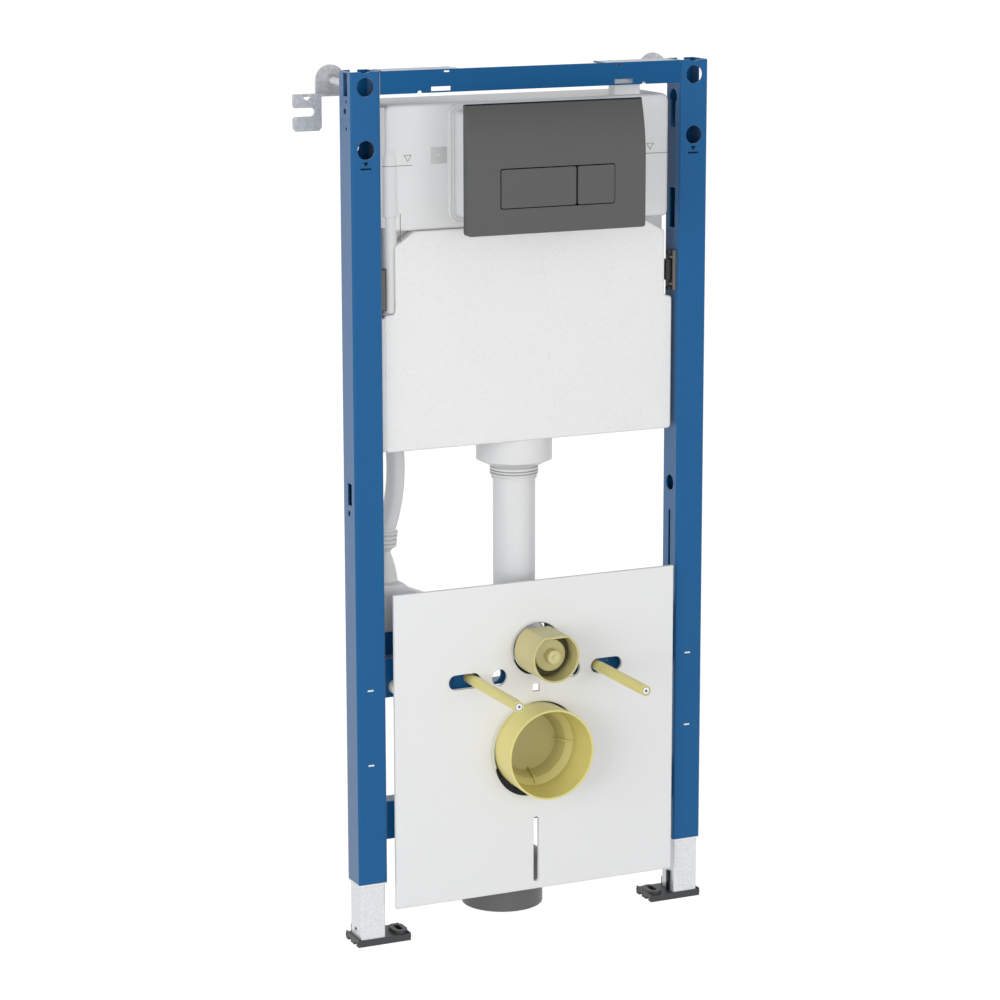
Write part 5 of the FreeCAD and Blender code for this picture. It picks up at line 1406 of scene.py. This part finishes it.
@dataclass
class Plugs:
    """The flush plug's grip, the lips and seals round the plugs and the bolt ends.

    The dimple is given by depth and radius, a bolt's face and dot by how far they stand before its sleeve.
    """

    knob_radius: float = 9.5
    knob_length: float = 13.0
    knob_round: float = 1.6
    corner_share: float = 0.3
    dimple: Sequence[Flat] = ((0.0, 4.2), (1.4, 2.2), (2.0, 0.4))
    end_root: float = 0.4
    end_radius: float = 4.9
    end_face: Sequence[Flat] = ((0.1, 4.9), (0.5, 4.4), (0.5, 1.8), (0.2, 1.5))
    end_dot: Sequence[Flat] = ((0.1, 1.8), (0.55, 1.8), (0.65, 1.26))
    end_ring: Flat = (4.7, 5.5)
    end_ring_depth: Flat = (-0.15, 1.0)
    lip_recess: float = 0.5
    lip_thick: float = 3.0
    lip_wide: float = 2.0
    seal_gap: float = 0.2
    seal_thick: float = 1.2
    drain_hole: tuple[Flat, float] = ((230.0, 243.5), 64.5)
    drain_lip: tuple[Flat, float] = ((232.9, 242.8), 63.4)
    drain_seal: Flat = (60.9, 67.5)
    drain_bulge: Sequence[float] = (60.2, 17.0, 50.0)
    flush_hole: tuple[Flat, float] = ((230.0, 379.5), 35.5)
    flush_lip: tuple[Flat, float] = ((231.9, 378.9), 34.8)
    flush_seal: Flat = (33.3, 38.5)
    flush_bulge: Sequence[float] = (32.8, 8.4, 28.0)
    crescent_way: float = 237.0
    crescent_half: float = 36.0
    crescent_steps: int = 12
    crescent_thin: float = 0.1
    crescent_depth: Flat = (-29.5, -27.0)
    gap_ring: Flat = (21.6, 27.5)
    gap_depth: Flat = (-66.0, -65.0)

    def build(self) -> None:
        """Build the grip, the lips and the ends of the bolts."""
        self.grip()
        self.hole_lips()
        self.bolt_ends()

    def grip(self) -> None:
        """The turned grip inside the flush plug, with a dimple in its knob."""
        low, high = corners("flush_plug_core")
        middle = (low + high) / 2
        radius, knob = (high.x - low.x) / 2, self.knob_radius
        shoulder = low.y + self.knob_length
        turn, part = self.knob_round, self.knob_round * self.corner_share
        profile = [
            (high.y, radius), (shoulder + turn, radius), (shoulder + part, radius - part), (shoulder, radius - turn),
            (shoulder, knob + turn), (shoulder - part, knob + part), (shoulder - turn, knob),
            (low.y + turn, knob), (low.y + part, knob - part), (low.y, knob - turn)]
        profile += [(low.y + depth, reach) for depth, reach in self.dimple]
        core = Shell()
        core.lathe(profile, (middle.x, middle.z), Axis.Y, steps=48)
        core.piece("flush_plug_grip", CUP, Body.FRAME, ["flush_plug_core"])

    def hole_lips(self) -> None:
        """The foam lips inside the sheet's two holes and the black seals behind them."""
        low, high = corners("protective_plate")
        near, back = low.y + self.lip_recess, high.y + self.seal_gap
        lips = Shell()
        seals = Shell()
        for (middle, radius), lip, seal, bulge in (
                (self.drain_hole, self.drain_lip, self.drain_seal, self.drain_bulge),
                (self.flush_hole, self.flush_lip, self.flush_seal, self.flush_bulge)):
            lips.washer((middle, radius + self.lip_wide), lip, near, near + self.lip_thick)
            seals.washer((middle, seal[1]), (middle, seal[0]), back, back + self.seal_thick)
            seals.prism(self.crescent(middle, *bulge), Axis.Y, *self.crescent_depth)
        lips.piece("pad_hole_lips", PAD)
        seals.piece("plug_seals", SEAL)
        # A dark ring round the flush plug's grip: painted shade in the gap.
        ring = Shell()
        middle = self.flush_hole[0]
        ring.washer((middle, self.gap_ring[1]), (middle, self.gap_ring[0]), *self.gap_depth)
        ring.piece("flush_plug_ring_shade", GAP_SHADE)

    def crescent(self, middle: Flat, inner: float, shift: float, radius: float) -> list[Flat]:
        """The part of a seal that bulges out under a plug, as a crescent.

        Args:
            middle: Middle of the plug, as x and z.
            inner: Radius of the crescent's inner edge.
            shift: How far the outer edge's middle lies from the plug's.
            radius: Radius of the outer edge.

        Returns:
            Points in x and z.
        """
        x, z = middle
        outer_edge, inner_edge = [], []
        for step in range(-self.crescent_steps, self.crescent_steps + 1):
            angle = self.crescent_half * step / self.crescent_steps
            turn, way = math.radians(angle), math.radians(self.crescent_way + angle)
            reach = shift * math.cos(turn) + math.sqrt(radius ** 2 - (shift * math.sin(turn)) ** 2)
            reach = max(reach, inner + self.crescent_thin)
            outer_edge.append((x + reach * math.cos(way), z + reach * math.sin(way)))
            inner_edge.append((x + inner * math.cos(way), z + inner * math.sin(way)))
        return outer_edge + inner_edge[::-1]

    def bolt_ends(self) -> None:
        """The bright end of each bolt with its dark centre mark, and a dark ring round it that is painted shade in the
        gap to the sleeve.
        """
        ends = Shell()
        dots = Shell()
        rings = Shell()
        for side in Side:
            bolt = centre(side.of("bolt"))
            middle = (bolt.x, bolt.z)
            tip = corners(side.of("bolt_sleeve"))[0].y
            face = [(tip - proud, radius) for proud, radius in self.end_face]
            root = (corners(side.of("bolt"))[0].y + self.end_root, self.end_radius)
            ends.lathe([root, *face], middle, Axis.Y, steps=40)
            dots.lathe([(tip - proud, radius) for proud, radius in self.end_dot], middle, Axis.Y, steps=20)
            rings.washer((middle, self.end_ring[1]), (middle, self.end_ring[0]),
                         *(tip + depth for depth in self.end_ring_depth), steps=40)
        ends.piece("bolt_ends", BOLT_END)
        rings.piece("bolt_end_shade_rings", GAP_SHADE)
        dots.piece("bolt_end_dots", CLIP)


@dataclass
class Studio:
    """White floor, white surroundings and soft lamps."""

    floor_half: float = 14.0
    level_light: float = 0.9
    sky_light: float = 0.46
    floor_glow: float = 0.9
    floor_tone: float = 0.3
    floor_bounce: float = 0.8
    sky_span: Flat = (0.05, 0.8)
    target: Sequence[float] = (0.23, 0.0, 0.6)
    lamps: Sequence[tuple[str, Sequence[float], float, float]] = (
        ("key_lamp", (-3.4, -2.2, 0.9), 2.6, 75.0), ("front_lamp", (0.4, -4.2, 0.4), 3.0, 73.0))

    def build(self) -> None:
        """Build the floor, the world and the lamps."""
        self.floor()
        self.world()
        for row in self.lamps:
            self.lamp(*row)

    def seen_share(self, graph: Graph) -> bpy.types.NodeSocket:
        """1 where the camera, a mirror or glass looks, 0 for light that bounces.

        Args:
            graph: Tree that gets the nodes.

        Returns:
            The output socket.
        """
        path = graph.node("ShaderNodeLightPath").outputs
        mirror = graph.math("MAXIMUM", path["Is Glossy Ray"], path["Is Transmission Ray"])
        return graph.math("MAXIMUM", path["Is Camera Ray"], mirror)

    def floor(self) -> None:
        """The pale floor, which keeps a faint shadow."""
        half = self.floor_half
        mesh = bpy.data.meshes.new("floor")
        mesh.from_pydata([(-half, -half, 0), (half, -half, 0), (half, half, 0), (-half, half, 0)], [], [(0, 1, 2, 3)])
        floor = bpy.data.objects.new("floor", mesh)
        bpy.context.scene.collection.objects.link(floor)
        material = bpy.data.materials.new("floor_white")
        material.use_nodes = True
        material.node_tree.nodes.clear()
        graph = Graph(material.node_tree)
        plain, shaded = (graph.node("ShaderNodeBsdfDiffuse", {"Color": (tone, tone, tone, 1.0)}).outputs[0]
                         for tone in (self.floor_bounce, self.floor_tone))
        glow = graph.node("ShaderNodeEmission", {"Strength": self.floor_glow}).outputs[0]
        seen = graph.node("ShaderNodeAddShader", {0: shaded, 1: glow}).outputs[0]
        mixed = graph.node("ShaderNodeMixShader", {0: self.seen_share(graph), 1: plain, 2: seen}).outputs[0]
        graph.node("ShaderNodeOutputMaterial", {"Surface": mixed})
        mesh.materials.append(material)

    def world(self) -> None:
        """White surroundings for the eye and softer light for the surfaces."""
        world = bpy.data.worlds.new("studio")
        world.use_nodes = True
        world.node_tree.nodes.clear()
        graph = Graph(world.node_tree)
        upward = graph.node("ShaderNodeSeparateXYZ", {
            0: graph.node("ShaderNodeTexCoord").outputs["Generated"]}).outputs["Z"]
        strength = graph.spread(upward, *self.sky_span, self.level_light, self.sky_light)
        soft = graph.node("ShaderNodeBackground", {"Strength": strength}).outputs[0]
        white = graph.node("ShaderNodeBackground", {"Strength": 1.0}).outputs[0]
        for background in (soft, white):
            background.node.inputs["Color"].default_value = (1.0, 1.0, 1.0, 1.0)
        mixed = graph.node("ShaderNodeMixShader", {0: self.seen_share(graph), 1: soft, 2: white}).outputs[0]
        graph.node("ShaderNodeOutputWorld", {"Surface": mixed})
        bpy.context.scene.world = world

    def lamp(self, name: str, place: Sequence[float], size: float, power: float) -> None:
        """A square soft lamp that points at the middle of the frame.

        Args:
            name: Name of the lamp.
            place: Where it hangs, in metres.
            size: Side of the square in metres.
            power: Watts.
        """
        data = bpy.data.lights.new(name, "AREA")
        data.size = size
        data.energy = power
        lamp = bpy.data.objects.new(name, data)
        lamp.location = place
        lamp.rotation_euler = (Vector(self.target) - Vector(place)).to_track_quat("-Z", "Y").to_euler()
        lamp.visible_glossy = False
        bpy.context.scene.collection.objects.link(lamp)


@dataclass
class PhotoCamera:
    """The camera where the photograph was taken from."""

    place: Sequence[float] = (-1544.4, -3770.1, 1460.4)
    yaw: float = 24.72
    pitch: float = 12.04
    roll: float = -0.10
    lens: float = 117.49
    sensor: float = 36.0
    far: float = 100.0

    def build(self) -> None:
        """Build the camera and make it the scene's own."""
        data = bpy.data.cameras.new("photo_camera")
        data.lens = self.lens
        data.sensor_width = self.sensor
        data.clip_end = self.far
        camera = bpy.data.objects.new("photo_camera", data)
        camera.location = Vector(self.place) * MM
        turn = Matrix.Rotation(math.radians(-self.yaw), 4, "Z")
        tilt = Matrix.Rotation(math.radians(90.0 - self.pitch), 4, "X")
        lean = Matrix.Rotation(math.radians(self.roll), 4, "Z")
        camera.rotation_euler = (turn @ tilt @ lean).to_euler()
        bpy.context.scene.collection.objects.link(camera)
        bpy.context.scene.camera = camera


def main() -> None:
    """Build the classes in order."""
    logging.basicConfig(level=logging.INFO, format="%(name)s: %(message)s")
    bpy.context.scene.view_settings.view_transform = "Standard"
    dress_nodes()
    for builder in (Posts(), WallFixings(), Foot(Side.LEFT), Foot(Side.RIGHT), Clips(), Tank(), Supply(), Cover(),
                    Plugs(), Studio(), PhotoCamera()):
        builder.build()


if __name__ == "__main__":
    main()
